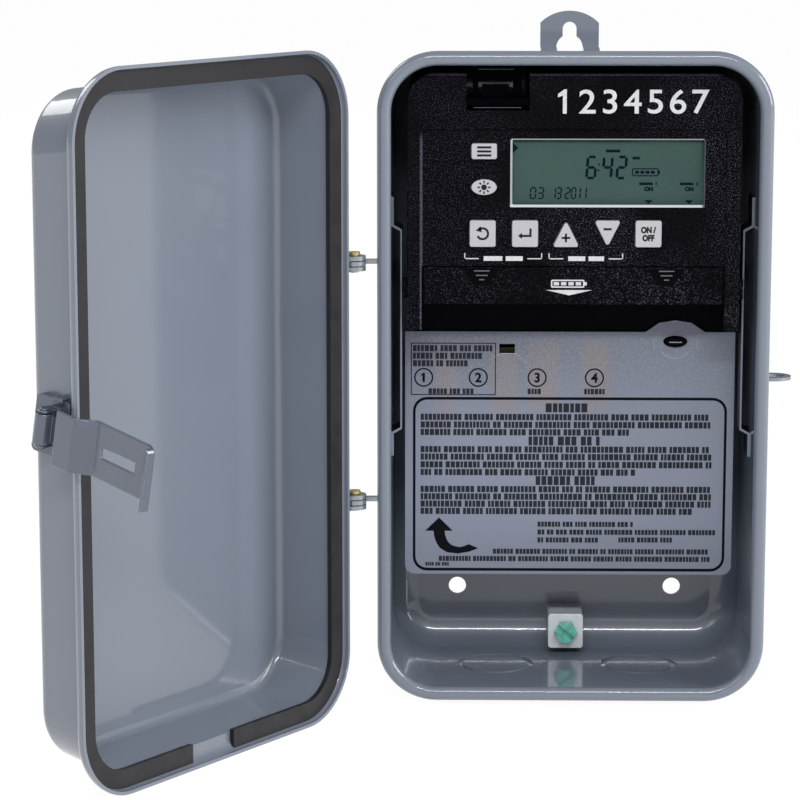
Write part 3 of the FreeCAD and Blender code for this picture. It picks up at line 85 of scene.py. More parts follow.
class TimerFinish(bpy.types.PropertyGroup):
    """Colours of the timer's finishes."""

    enamel: colour("Enamel", "Paint of the case and the door", 0.185, 0.215, 0.270)
    gasket: colour("Gasket", "Seal in the door", 0.014, 0.013, 0.016)
    zinc: colour("Zinc", "Plated steel of the tongues, eye and knuckles", 0.36, 0.39, 0.43)
    strap: colour("Straps", "Dark steel beside the mechanism", 0.012, 0.014, 0.020)
    # Painted highlight on the front edge of the straps
    strap_edge_highlight: colour("Bright edge", "Front edge of the straps", 0.24, 0.28, 0.35)
    latch: colour("Latch", "Blue-grey plating of the latch", 0.100, 0.117, 0.160)
    pin: colour("Pins", "Yellow plating of the hinge pins", 0.62, 0.50, 0.22)
    screw: colour("Ground screw", "Green dyed plating", 0.18, 0.67, 0.55)
    lug: colour("Ground lug", "Pale plating of the lug", 0.90, 0.93, 0.97)
    moulding: colour("Mouldings", "Black plastic of the mechanism", 0.0012, 0.0012, 0.0028)
    speck: colour("Specks", "Light specks in the black plastic", 0.105, 0.102, 0.138)
    key: colour("Keys", "Ivory plastic of the keys", 0.525, 0.52, 0.555)
    display: colour("Display", "Back of the display", 0.082, 0.150, 0.140)
    segment: colour("Segments", "Dark segments of the display", 0.001, 0.010, 0.016)
    film: colour("Insulator", "Bendable sheet over the wires", 0.270, 0.298, 0.385)
    glow: colour("Glow", "Warm patches where the terminals show through", 0.30, 0.235, 0.20)
    ink: colour("Ink", "Black printing", 0.005, 0.006, 0.010)
    small_print: colour("Small print", "Plain rows on the sheet", 0.030, 0.033, 0.044)
    paint: colour("White print", "Printing on the black plastic", 0.72, 0.73, 0.76)


class TimerSizes(bpy.types.PropertyGroup):
    """Sizes of the printing and trim."""

    print_depth: length("Print depth", "How far printing stands proud", 0.04)
    figure_height: length("Figures", "Height of the day figures on the bezel", 7.2)
    time_height: length("Time", "Height between the end segments of the time", 6.3)
    date_height: length("Date", "Height between the end segments of the date", 3.2)
    # The display rim is a ring of painted highlight
    rim_width: length("Display rim", "Width of the clear rim round the display", 0.45)


class TimerStudio(bpy.types.PropertyGroup):
    """Camera and light of the studio."""

    focal: FloatProperty(
        name="Focal length", description="Lens on a 36 mm sensor", default=137.02, unit="CAMERA")
    ambient: FloatProperty(
        name="Ambient", description="Strength of the sky on the object", default=0.31)
    key_power: power("Key light", "Power of the main soft light", 21.0)
    fill_power: power("Fill light", "Power of the side soft light", 2.4)
    back_power: power("Back light", "Power of the soft light behind", 7.0)
    strip_power: power("Strip light", "Power of the narrow light above the front", 6.0)


def finish():
    return bpy.context.scene.timer_finish


def sizes():
    return bpy.context.scene.timer_sizes


# Materials

# Between these lie most values of a noise
NOISE_LOW, NOISE_HIGH = 0.3, 0.7
# Sockets of the colour mix node, several of which share a name
MIX_SHARE, MIX_FIRST, MIX_SECOND, MIX_RESULT = 0, 6, 7, 2
BEVEL_SAMPLES = 6
# Share of a band's reach that has its full strength
BAND_CORE = 0.4
BRUSHED = (1, 1, 12)


def shade(base, factor):
    """A colour made darker or brighter by a factor."""
    return [channel * factor for channel in base]


def math_node(tree, operation, *values):
    """The result of a sum on values, which are numbers or the outputs of other nodes."""
    made = tree.nodes.new("ShaderNodeMath")
    made.operation = operation
    for socket, value in zip(made.inputs, values):
        if isinstance(value, float):
            socket.default_value = value
        else:
            tree.links.new(value, socket)
    return made.outputs[0]


class Finish:
    """A Principled shader under construction, with layers of pattern in object space."""

    def __init__(self, name, base, roughness, metallic=0.0, **sockets):
        self.material = bpy.data.materials.new(name)
        self.material.use_nodes = True
        self.material.diffuse_color = (*base, 1)
        self.tree = self.material.node_tree
        self.shader = self.tree.nodes["Principled BSDF"]
        self.base = tuple(base)
        self.shader.inputs["Base Color"].default_value = (*base, 1)
        self.shader.inputs["Roughness"].default_value = roughness
        self.shader.inputs["Metallic"].default_value = metallic
        for socket, value in sockets.items():
            self.shader.inputs[socket.replace("_", " ")].default_value = value
        self.coordinates = self.node("ShaderNodeTexCoord").outputs["Object"]
        self.colour_end = None
        self.normal_end = None

    def node(self, kind, **settings):
        made = self.tree.nodes.new(kind)
        for key, value in settings.items():
            setattr(made, key, value)
        return made

    def link(self, start, end):
        self.tree.links.new(start, end)

    def noise(self, scale, detail=3.0, stretch=(1, 1, 1)):
        """The value of a noise with so many features to the metre."""
        mapping = self.node("ShaderNodeMapping")
        mapping.inputs["Scale"].default_value = stretch
        self.link(self.coordinates, mapping.inputs["Vector"])
        noise = self.node("ShaderNodeTexNoise")
        noise.inputs["Scale"].default_value = scale
        noise.inputs["Detail"].default_value = detail
        self.link(mapping.outputs["Vector"], noise.inputs["Vector"])
        return noise.outputs["Fac"]

    def spread(self, value, low, high, start=0.0, end=1.0):
        """A value taken smoothly from low..high to start..end, held at both ends."""
        mapped = self.node("ShaderNodeMapRange", interpolation_type="SMOOTHSTEP")
        for socket, number in zip(
            ("From Min", "From Max", "To Min", "To Max"), (low, high, start, end)
        ):
            mapped.inputs[socket].default_value = number
        self.link(value, mapped.inputs["Value"])
        return mapped.outputs["Result"]

    def axis(self, letter):
        """One object coordinate, in metres."""
        split = self.node("ShaderNodeSeparateXYZ")
        self.link(self.coordinates, split.inputs["Vector"])
        return split.outputs[letter]

    def along(self, letter, low, high, start=0.0, end=1.0):
        """A value that changes along an axis, between two places in millimetres."""
        return self.spread(self.axis(letter), low * MM, high * MM, start, end)

    def band(self, letter, middle, reach):
        """One at a place on an axis, falling to nothing at a reach either side, in millimetres."""
        away = math_node(self.tree, "SUBTRACT", self.axis(letter), middle * MM)
        distance = math_node(self.tree, "ABSOLUTE", away)
        return self.spread(distance, reach * MM * BAND_CORE, reach * MM, 1.0, 0.0)

    def times(self, first, second):
        """The product of two values."""
        return math_node(self.tree, "MULTIPLY", first, second)

    def blend(self, share, other):
        """Another colour laid over the colour so far by a share."""
        mix = self.node("ShaderNodeMix", data_type="RGBA")
        if self.colour_end:
            self.link(self.colour_end, mix.inputs[MIX_FIRST])
        else:
            mix.inputs[MIX_FIRST].default_value = (*self.base, 1)
        mix.inputs[MIX_SECOND].default_value = (*other, 1)
        self.link(share, mix.inputs[MIX_SHARE])
        self.colour_end = mix.outputs[MIX_RESULT]
        self.link(self.colour_end, self.shader.inputs["Base Color"])
        return self

    def mottle(self, scale, amount, detail=3.0):
        """The base colour gently lighter and darker."""
        share = self.spread(self.noise(scale, detail), NOISE_LOW, NOISE_HIGH)
        return self.blend(share, shade(self.base, 1 - amount))

    def rough(self, scale, low, high, detail=3.0, stretch=(1, 1, 1)):
        """Roughness that wanders between two values."""
        wander = self.noise(scale, detail, stretch)
        roughness = self.spread(wander, NOISE_LOW, NOISE_HIGH, low, high)
        self.link(roughness, self.shader.inputs["Roughness"])
        return self

    def grain(self, scale, detail, depth, strength, stretch=(1, 1, 1)):
        """A surface raised by a noise, over a depth in millimetres."""
        bump = self.node("ShaderNodeBump")
        bump.inputs["Distance"].default_value = depth * MM
        bump.inputs["Strength"].default_value = strength
        self.link(self.noise(scale, detail, stretch), bump.inputs["Height"])
        if self.normal_end:
            self.link(self.normal_end, bump.inputs["Normal"])
        self.normal_end = bump.outputs["Normal"]
        self.link(self.normal_end, self.shader.inputs["Normal"])
        return self

    def rounded_normal(self, radius):
        """The normal as it would be with sharp edges rounded, by a radius in millimetres."""
        rounding = self.node("ShaderNodeBevel", samples=BEVEL_SAMPLES)
        rounding.inputs["Radius"].default_value = radius * MM
        return rounding.outputs["Normal"]

    def soft_edges(self, radius):
        """Sharp edges shaded as if rounded, so that they catch the light."""
        self.normal_end = self.rounded_normal(radius)
        self.link(self.normal_end, self.shader.inputs["Normal"])
        if self.shader.inputs["Coat Weight"].default_value > 0:
            self.link(self.normal_end, self.shader.inputs["Coat Normal"])
        return self

    def painted_edge_highlight(self, radius, other, amount):
        """Another colour painted along sharp edges as a highlight."""
        turned = self.node("ShaderNodeVectorMath", operation="DOT_PRODUCT")
        self.link(self.rounded_normal(radius), turned.inputs[0])
        self.link(self.node("ShaderNodeNewGeometry").outputs["Normal"], turned.inputs[1])
        return self.blend(self.spread(turned.outputs["Value"], 0.80, 0.97, amount, 0.0), other)


def enamel(name):
    """Glossy blue-grey paint, a little uneven."""
    made = Finish(name, finish().enamel, 0.40, Coat_Weight=1.0, Coat_Roughness=0.07)
    made.mottle(scale=7, amount=0.05).rough(scale=24, low=0.34, high=0.46)
    made.grain(380, detail=1, depth=0.02, strength=0.35)
    made.link(made.normal_end, made.shader.inputs["Coat Normal"])
    return made.material


def steel(name, base, roughness=0.36):
    """Plated or bare steel with a brushed grain."""
    made = Finish(name, base, roughness, metallic=0.85)
    made.mottle(scale=240, amount=0.12, detail=4)
    made.rough(380, roughness - 0.06, roughness + 0.08, detail=4, stretch=BRUSHED)
    made.grain(900, detail=3, depth=0.02, strength=0.3, stretch=BRUSHED)
    return made.material


def latch_steel(name):
    """Smooth blue-grey plating, with a painted highlight along its edges."""
    base = finish().latch
    made = Finish(name, base, 0.20, metallic=0.35, Coat_Weight=1.0, Coat_Roughness=0.06)
    made.soft_edges(0.5)
    made.mottle(scale=30, amount=0.06).rough(scale=60, low=0.16, high=0.25)
    # Painted highlight: a lighter blue-grey along the sharp edges
    made.painted_edge_highlight(0.45, shade(base, 2.6), amount=0.85)
    made.grain(700, detail=2, depth=0.01, strength=0.3)
    return made.material


def strap_steel(name):
    """Dark steel, with a painted highlight along its front edge."""
    made = Finish(name, finish().strap, 0.36, metallic=0.3, Specular_IOR_Level=0.3)
    # Painted highlight: a light colour along the straps' front edge
    front = made.along("Y", -40.9, -40.5, 1.0, 0.0)
    made.blend(front, finish().strap_edge_highlight)
    made.rough(scale=200, low=0.29, high=0.42)
    made.grain(800, detail=2, depth=0.01, strength=0.3)
    return made.material


# Moulded edges of the bezel with a painted highlight: the axis and the place across which they
# lie, their reach, and the height above which they fade
BEZEL_HIGHLIGHTS = (("X", -45.5, 0.55, 74.5), ("Z", 91.4, 0.4, None))
EDGE_FADE = 3


def black_plastic(name, speck=1.0, grain=0.6, edges=(), shine=0.04):
    """Dense black plastic with fine light specks in drifts, with a painted highlight along some
    moulded edges.
    """
    made = Finish(name, finish().moulding, 0.5, Specular_IOR_Level=shine)
    fine = made.noise(2900, detail=1)
    drift = made.spread(made.noise(34, detail=2), 0.38, 0.62, 0.15, 1.0)
    drift = made.times(drift, made.along("X", -42, 12, 0.45, 1.0))
    made.blend(made.times(made.spread(fine, 0.56, 0.70, 0.0, speck), drift), finish().speck)
    # Painted highlights along moulded edges, in the colour of the specks
    for letter, middle, reach, limit in edges:
        glint = made.times(made.band(letter, middle, reach), made.spread(fine, 0.30, 0.62, 0.1))
        if limit is not None:
            glint = made.times(glint, made.along("Z", limit - EDGE_FADE, limit, 1.0, 0.0))
        made.blend(glint, finish().speck)
    made.rough(scale=700, low=0.42, high=0.58)
    made.grain(2600, detail=1, depth=0.06, strength=grain)
    return made.material


def plain_plastic(name, base, roughness, scale, amount=0.05, edges=0.0):
    """Plain plastic with a fine grain of so many features to the metre."""
    made = Finish(name, base, roughness)
    if edges:
        made.soft_edges(edges)
    made.mottle(scale / 8, amount)
    made.rough(scale / 5, roughness - 0.05, roughness + 0.07)
    made.grain(scale, detail=2, depth=0.03, strength=0.4)
    return made.material


def rubber(name, base):
    """Soft rubber, faintly shiny."""
    made = Finish(name, base, 0.5, Specular_IOR_Level=0.45)
    made.mottle(scale=60, amount=0.2).rough(scale=150, low=0.42, high=0.6)
    made.grain(900, detail=2, depth=0.04, strength=0.4)
    return made.material


# Warm streaks over the terminals: middle and reach across, middle height, share of colour
GLOWS = (
    (-38.0, 4.5, -8.0, 0.45), (-20.3, 5.5, -4.0, 0.55), (-8.0, 6.5, -3.0, 0.60),
    (7.6, 6.0, -3.0, 0.55),
)
GLOW_REACH = 15
# Painted highlight along the sheet's bent top edge: its height and reach
BEND_HIGHLIGHT = (14.9, 0.4)


def insulator_film(name):
    """Bendable sheet, darker towards the top where the block shows through it, with painted shade
    stronger at the left, with streaks over the terminals and a painted highlight along its bent
    top edge.
    """
    film = finish().film
    made = Finish(name, film, 0.33, Specular_IOR_Level=0.4)
    made.mottle(scale=25, amount=0.05)
    # Darker towards the top: partly the block showing through, partly painted shade, stronger at
    # the left
    block_and_shade = made.along("Z", -22, 12, 0.0, 0.85)
    block_and_shade = made.times(block_and_shade, made.along("X", -30, 25, 1.0, 0.5))
    made.blend(block_and_shade, shade(film, 0.45))
    below = made.along("Z", -62, -44, 0.4, 0.0)
    made.blend(below, shade(film, 0.6))
    for x, reach, z, strength in GLOWS:
        streak = made.times(made.band("X", x, reach), made.band("Z", z, GLOW_REACH))
        uneven = made.spread(made.noise(90, detail=2), NOISE_LOW, NOISE_HIGH, 0.55, 1.0)
        made.blend(made.times(made.times(streak, uneven), strength), finish().glow)
    # Painted highlight along the bent top edge
    made.blend(made.times(made.band("Z", *BEND_HIGHLIGHT), 0.7), (0.42, 0.47, 0.55))
    grain = made.spread(made.noise(1500, detail=1), 0.35, 0.7, 0.0, 0.16)
    made.blend(made.times(grain, made.along("Z", -20, 0)), (0.5, 0.54, 0.62))
    made.rough(scale=60, low=0.29, high=0.38)
    made.grain(1300, detail=1, depth=0.01, strength=0.3)
    return made.material


def display_back(name):
    """Grey-green back of the display, with painted shade along its top and its right side."""
    made = Finish(name, finish().display, 0.5, Specular_IOR_Level=0.1)
    # Painted shade along the top, under the window's edge
    made.blend(made.along("Z", 70.4, 71.6, 0.0, 0.8), (0.012, 0.022, 0.022))
    # Painted shade along the right side
    made.blend(made.along("X", 37.2, 38.6, 0.0, 0.6), (0.015, 0.028, 0.028))
    made.mottle(scale=40, amount=0.06).rough(scale=300, low=0.45, high=0.6)
    made.grain(1500, detail=1, depth=0.01, strength=0.2)
    return made.material


def display_edge(name):
    """Cut edge of the window as a painted highlight, brighter below, with painted shade at the
    right.
    """
    made = Finish(name, (0.42, 0.47, 0.47), 0.15, Specular_IOR_Level=0.6)
    # Painted highlight, brighter along the bottom
    made.blend(made.along("Z", 52.0, 53.2, 0.75, 0.0), (0.72, 0.76, 0.80))
    # Painted shade at the right
    made.blend(made.along("X", 37.9, 38.7), (0.05, 0.06, 0.07))
    made.rough(scale=500, low=0.12, high=0.25)
    return made.material


def clear_window(name):
    """Clear plastic, nearly invisible from the front."""
    made = Finish(name, (0.10, 0.13, 0.13), 0.06, Alpha=0.03, Specular_IOR_Level=0.15)
    made.mottle(scale=300, amount=0.1).rough(scale=400, low=0.03, high=0.08)
    return made.material


def lug_metal(name):
    """Pale plated metal of the ground lug."""
    made = Finish(name, finish().lug, 0.34, metallic=0.2)
    made.soft_edges(0.5)
    made.mottle(scale=200, amount=0.15).rough(scale=300, low=0.29, high=0.4)
    made.grain(700, detail=3, depth=0.01, strength=0.3)
    return made.material


def green_dye(name):
    """Green dyed plating of the ground screw."""
    made = Finish(name, finish().screw, 0.34, metallic=0.15, Coat_Weight=0.6)
    made.soft_edges(0.5)
    made.mottle(scale=600, amount=0.3).rough(scale=500, low=0.29, high=0.4)
    return made.material


def ink(name, base, roughness=0.5, shine=0.3):
    """Printing ink, also the paint of painted highlights."""
    made = Finish(name, base, roughness, Specular_IOR_Level=shine)
    made.mottle(900, 0.12).rough(600, roughness - 0.06, roughness + 0.06)
    return made.material


def dress(material, *nodes):
    """Give CAD nodes a material."""
    for name in nodes:
        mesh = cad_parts[name].data
        mesh.materials.clear()
        mesh.materials.append(material)


# Outlines of flat printing: in millimetres, on a plane across Y

CORNER_STEPS = 6


def rounded(left, right, bottom, top, radius):
    """The outline of a rectangle with round corners."""
    points = []
    for corner, (x, z) in enumerate(
        ((right - radius, top - radius), (left + radius, top - radius),
         (left + radius, bottom + radius), (right - radius, bottom + radius))
    ):
        for step in range(CORNER_STEPS + 1):
            angle = math.pi / 2 * (corner + step / CORNER_STEPS)
            points.append((x + radius * math.cos(angle), z + radius * math.sin(angle)))
    return points


def circle(x, z, radius, steps=40):
    """The outline of a circle."""
    angles = (2 * math.pi * step / steps for step in range(steps))
    return [(x + radius * math.cos(angle), z + radius * math.sin(angle)) for angle in angles]


def bar(left, right, bottom, top):
    """The outline of a plain bar."""
    return [(left, bottom), (right, bottom), (right, top), (left, top)]


def line(start, end, stroke):
    """The outline of a straight line of a given width."""
    along = Vector(end) - Vector(start)
    across = Vector((-along.y, along.x)).normalized() * stroke / 2
    return [tuple(Vector(point) + side) for point, side in (
        (start, -across), (end, -across), (end, across), (start, across))]


def arc(x, z, inner, outer, first, last, steps=24):
    """The outline of part of a ring, between two angles in degrees."""
    turn = [math.radians(first + (last - first) * step / steps) for step in range(steps + 1)]
    return [(x + outer * math.cos(a), z + outer * math.sin(a)) for a in turn] + [
        (x + inner * math.cos(a), z + inner * math.sin(a)) for a in reversed(turn)]


def figure_one(x, z, high, stroke):
    """The outline of a plain figure 1 with its flag."""
    top, foot, half, tip = z + high / 2, z - high / 2, stroke / 2, x - high * 0.28
    return [
        (x + half, foot), (x + half, top), (x - half * 0.3, top), (tip, top - high * 0.19),
        (tip, top - high * 0.33), (x - half, top - high * 0.25), (x - half, foot),
    ]


# The lit segments of the figures that the display shows
SEGMENTS = {"0": "abcdef", "1": "bc", "2": "abged", "3": "abgcd", "4": "fgbc", "6": "afgedc"}
SEGMENT_GAP = 0.12
SEGMENT_LEAN = 0.07


def seven_segments(figure, left, bottom, width, height, stroke):
    """The outlines of one display figure, leaning a little."""
    middle, top, right = bottom + height / 2, bottom + height, left + width
    half, gap = stroke / 2, stroke * SEGMENT_GAP

    def level(z):
        start, end = left + half + gap, right - half - gap
        return [
            (left + gap, z), (start, z + half), (end, z + half),
            (right - gap, z), (end, z - half), (start, z - half),
        ]

    def upright(x, low, high):
        start, end = low + half + gap, high - half - gap
        return [
            (x, low + gap), (x + half, start), (x + half, end),
            (x, high - gap), (x - half, end), (x - half, start),
        ]

    outlines = {
        "a": level(top), "g": level(middle), "d": level(bottom),
        "b": upright(right, middle, top), "c": upright(right, bottom, middle),
        "f": upright(left, middle, top), "e": upright(left, bottom, middle),
    }
    return [
        [(x + SEGMENT_LEAN * (z - bottom), z) for x, z in outlines[segment]]
        for segment in SEGMENTS[figure]
    ]


# Plain rows: widths of a block and its gaps as shares of its height, and blocks to a word
BLOCK_WIDTHS = (0.38, 0.68)
BLOCK_GAP, WORD_GAP = 0.13, 0.36
WORD_BLOCKS = (2, 10)
ROW_SEED = 7


def plain_rows(rows):
    """Rows of small blocks in the rhythm of print: (left, right, middle height, block height)."""
    chance = random.Random(ROW_SEED)
    shapes = []
    for left, right, z, high in rows:
        x = left
        while x < right - high / 2:
            for _ in range(chance.randint(*WORD_BLOCKS)):
                end = x + high * chance.uniform(*BLOCK_WIDTHS)
                if end > right:
                    break
                shapes.append(bar(x, end, z - high / 2, z + high / 2))
                x = end + high * BLOCK_GAP
            x += high * WORD_GAP
    return shapes


# Printing

# The Y of each printed face in millimetres; less is nearer to the viewer
BEZEL_FACE = -50
BRACKET_FACE = -49
KEY_FACE = -50.3
DRAWER_FACE = -49.5
WINDOW_FACE = -48.6
DISPLAY_FACE = -47.53
CATCH_FACE = -45.5
POST_FACE = -31.4
SHEET_FACE = -29.9
# Height of the font's figures as a share of its size
FONT_SHARE = 0.72


def seat(name, mesh, material, body):
    """An object made from a mesh, with one material, riding on a body."""
    mesh.materials.clear()
    mesh.materials.append(material)
    made = bpy.data.objects.new(name, mesh)
    bpy.context.scene.collection.objects.link(made)
    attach(made, body)
    return made


def print_flat(name, body, material, y, shapes=(), rings=(), depth=None):
    """Printing and painted highlights on a plane: filled shapes, and rings between two outlines.
    """
    depth = depth or sizes().print_depth / MM
    verts, faces = [], []

    def add(points):
        start = len(verts)
        verts.extend((x * MM, (y - depth) * MM, z * MM) for x, z in points)
        verts.extend((x * MM, y * MM, z * MM) for x, z in points)
        return start, len(points)

    for points in shapes:
        start, count = add(points)
        faces.append(list(range(start, start + count)))
        for index in range(count):
            after = (index + 1) % count
            faces.append([
                start + index, start + count + index, start + count + after, start + after])
    for outer, inner in rings:
        first, count = add(outer)
        second, _ = add(inner)
        for index in range(count):
            after = (index + 1) % count
            faces.append([first + index, second + index, second + after, first + after])
            faces.append([
                first + index, first + after, first + count + after, first + count + index])
            faces.append([
                second + index, second + count + index, second + count + after, second + after])
    mesh = bpy.data.meshes.new(name)
    mesh.from_pydata(verts, [], faces)
    mesh.validate()
    return seat(name, mesh, material, body)


def lettering(name, words, height, place, body, material, weight, width=1.0):
    """Plain figures, centred at a place given in millimetres and facing the front."""
    curve = bpy.data.curves.new(name, "FONT")
    curve.body = words
    curve.size = height / FONT_SHARE * MM
    curve.offset = weight * MM
    curve.extrude = sizes().print_depth / 2
    curve.align_x = "CENTER"
    curve.align_y = "CENTER"
    source = bpy.data.objects.new(name, curve)
    bpy.context.scene.collection.objects.link(source)
    bpy.context.view_layer.update()
    drawn = source.evaluated_get(bpy.context.evaluated_depsgraph_get())
    mesh = bpy.data.meshes.new_from_object(drawn)
    bpy.data.objects.remove(source)
    low = Vector(map(min, *(vertex.co for vertex in mesh.vertices)))
    high = Vector(map(max, *(vertex.co for vertex in mesh.vertices)))
    x, y, z = place
    mesh.transform(Matrix.Translation(-(low + high) / 2))
    mesh.transform(Matrix.Diagonal((width, 1, 1, 1)))
    mesh.transform(Matrix.Rotation(math.pi / 2, 4, "X"))
    mesh.transform(Matrix.Translation((x * MM, y * MM - sizes().print_depth / 2, z * MM)))
    return seat(name, mesh, material, body)


# Steps

class StepOperator(bpy.types.Operator):
    """A step of building the timer."""

    bl_options = {"REGISTER", "UNDO"}


class TIMER_OT_case(StepOperator):
    """Enamel the case and the door, and finish the rubber seal"""

    bl_idname = "timer.case"
    bl_label = "Case and door"

    def execute(self, context):
        dress(enamel("blue_grey_enamel"), "case_shell", "door_shell")
        dress(rubber("seal_rubber", finish().gasket), "door_gasket")
        return {"FINISHED"}


# Painted highlights on edges seen in the catch's recess: left, right, bottom, top
CATCH_HIGHLIGHTS = (
    (-28.5, -18.3, 88.3, 88.8), (-28.5, -27.2, 87.4, 88.3), (-19.6, -18.3, 87.4, 88.3),
    (-28.5, -18.1, 92.5, 92.7),
)


class TIMER_OT_steelwork(StepOperator):
    """Finish the hinges, eye, straps, catch bracket, tab and latch"""

    bl_idname = "timer.steelwork"
    bl_label = "Steelwork"

    def execute(self, context):
        zinc = steel("zinc_plate", finish().zinc)
        dress(zinc, "hinge_tongue_upper", "hinge_tongue_lower", "padlock_eye")
        dress(zinc, "door_knuckle_upper", "door_knuckle_lower")
        dress(strap_steel("strap_metal"), "side_strap_left", "side_strap_right")
        dress(black_plastic("catch_black", speck=0.0, grain=0.1, shine=0.01), "catch_bracket")
        # Painted highlights on the lit edges in the catch's recess
        highlight_ink = ink("worn_black", (0.075, 0.075, 0.08), roughness=0.4)
        edges = [bar(*sides) for sides in CATCH_HIGHLIGHTS]
        print_flat("catch_slit", "case", highlight_ink, CATCH_FACE, edges)
        dress(enamel("tab_enamel"), "hanger_tab")
        dress(steel("yellow_plate", finish().pin), "hinge_pins")
        dress(latch_steel("latch_plate"), "latch_bracket", "latch_pin", "latch_lever")
        return {"FINISHED"}


class TIMER_OT_ground(StepOperator):
    """Finish the ground lug and its green screw"""

    bl_idname = "timer.ground"
    bl_label = "Ground screw"

    def execute(self, context):
        dress(lug_metal("lug_metal"), "ground_lug")
        dress(green_dye("green_dye"), "ground_screw")
        return {"FINISHED"}


DAY_FIGURES = "1234567"
# Places of the first and last day figure, and the middle height of all
DAY_FIRST, DAY_LAST, DAY_HEIGHT = -3.0, 37.2, 83.4
DAY_ONE_STROKE = 1.15
# The bracket lines: left, right, and the ends of the gap for their words
BRACKETS = ((-32.6, -9.3, -28.3, -13.7), (-7.4, 14.9, -3.0, 10.6))
BRACKET_STROKE = 0.32
BRACKET_BOTTOM, BRACKET_TOP = 36.2, 38.0
WORD_BOTTOM, WORD_TOP = 35.7, 37.1
# Painted highlight on the lower edge of the catch's recess
WELL_HIGHLIGHT = (-30, -15.9, 81.5, 81.68)


def bracket(left, right, first, last):
    """The outlines of a bracket line, with two bars in place of its words."""
    level = BRACKET_BOTTOM + BRACKET_STROKE
    middle = first + (last - first) * 0.52
    return [
        bar(left, left + BRACKET_STROKE, BRACKET_BOTTOM, BRACKET_TOP),
        bar(right - BRACKET_STROKE, right, BRACKET_BOTTOM, BRACKET_TOP),
        bar(left, first, BRACKET_BOTTOM, level),
        bar(last, right, BRACKET_BOTTOM, level),
        bar(first + 1.5, middle - 0.5, WORD_BOTTOM, WORD_TOP),
        bar(middle + 0.5, last - 1.4, WORD_BOTTOM, WORD_TOP),
    ]


class TIMER_OT_bezel(StepOperator):
    """Finish the black mouldings and print the bezel"""

    bl_idname = "timer.bezel"
    bl_label = "Bezel"

    def execute(self, context):
        dress(black_plastic("grained_black", edges=BEZEL_HIGHLIGHTS), "front_bezel")
        dress(black_plastic("drawer_black", speck=0.7), "battery_drawer")
        smooth = black_plastic("smooth_black", speck=0.0, grain=0.15)
        dress(smooth, "rear_housing", "terminal_block", "insulator_post")
        catch = black_plastic("catch_slide_black", speck=0.0, grain=0.1, shine=0.01)
        dress(catch, "release_catch")
        white = ink("white_print", finish().paint)
        for index, figure in enumerate(DAY_FIGURES):
            name, high = f"day_figure_{figure}", sizes().figure_height / MM
            x = DAY_FIRST + (DAY_LAST - DAY_FIRST) * index / (len(DAY_FIGURES) - 1)
            if figure == "1":
                outline = figure_one(x, DAY_HEIGHT, high, DAY_ONE_STROKE)
                print_flat(name, "mechanism", white, BEZEL_FACE, [outline])
            else:
                lettering(
                    name, figure, high, (x, BEZEL_FACE, DAY_HEIGHT), "mechanism",
                    white, weight=0.08, width=1.1,
                )
        lines = [outline for sides in BRACKETS for outline in bracket(*sides)]
        print_flat("bracket_lines", "mechanism", white, BRACKET_FACE, lines)
        # Painted highlight along the lower edge of the catch's recess
        highlight_ink = ink("worn_well", (0.10, 0.10, 0.12), roughness=0.4)
        print_flat("well_edge", "mechanism", highlight_ink, BEZEL_FACE, [bar(*WELL_HIGHLIGHT)])
        return {"FINISHED"}


# What the display shows. The time: figures with their left sides
TIME_FIGURES = (("6", 3.75), ("4", 8.55), ("2", 12.75))
TIME_BOTTOM, TIME_WIDTH, TIME_STROKE = 60.45, 2.45, 0.85
COLON = ((7.35, 62.7), (7.45, 64.5))
COLON_RADIUS = 0.3
# The date: figures with their left sides and widths
DATE_FIGURES = (
    ("0", -13.0, 1.5), ("3", -10.7, 1.5), ("1", -7.0, 1.4), ("3", -5.2, 1.3),
    ("2", -2.55, 1.2), ("0", -0.75, 1.2), ("1", 0.6, 1.2), ("1", 2.4, 1.2),
)
DATE_BOTTOM, DATE_STROKE = 54.3, 0.42
# The two loads: their middles, and the middle heights of their number and state
LOADS = (22.3, 34.4)
LOAD_NUMBER_HEIGHT, LOAD_STATE_HEIGHT = 58.75, 57.2
LOAD_NUMBER_SIZE, LOAD_STATE_SIZE = 0.95, 1.15
# Bars in place of words, and the small triangle at the top left
DISPLAY_BARS = (
    (9.4, 13.7, 68.1, 68.95), (17.4, 19.6, 66.0, 66.85), (25.1, 25.6, 61.7, 62.7),
)
DISPLAY_CORNER = [(-18.5, 71.1), (-18.5, 67.6), (-16.6, 69.45)]
# The cell beside the time: its outline outside and inside, and its four bars
CELL_RING = ((17.3, 25.2, 61.0, 63.4, 0.5), (17.62, 24.88, 61.32, 63.08, 0.3))
CELL_BARS = [bar(18.25 + 1.55 * step, 19.4 + 1.55 * step, 61.75, 62.65) for step in range(4)]
# The clear rim round the display, drawn as a ring of painted highlight: left, right, bottom, top
# and depth
RIM = (-19.1, 39.1, 51.5, 72.3)
RIM_DEPTH = 0.25


def load_mark(x):
    """The outlines of a load's arrow and the bar before its number."""
    arrow = [(x - 1.25, 53.85), (x, 52.7), (x + 1.25, 53.85)]
    return [arrow, bar(x - 2.8, x + 1.2, 58.35, 59.15)]


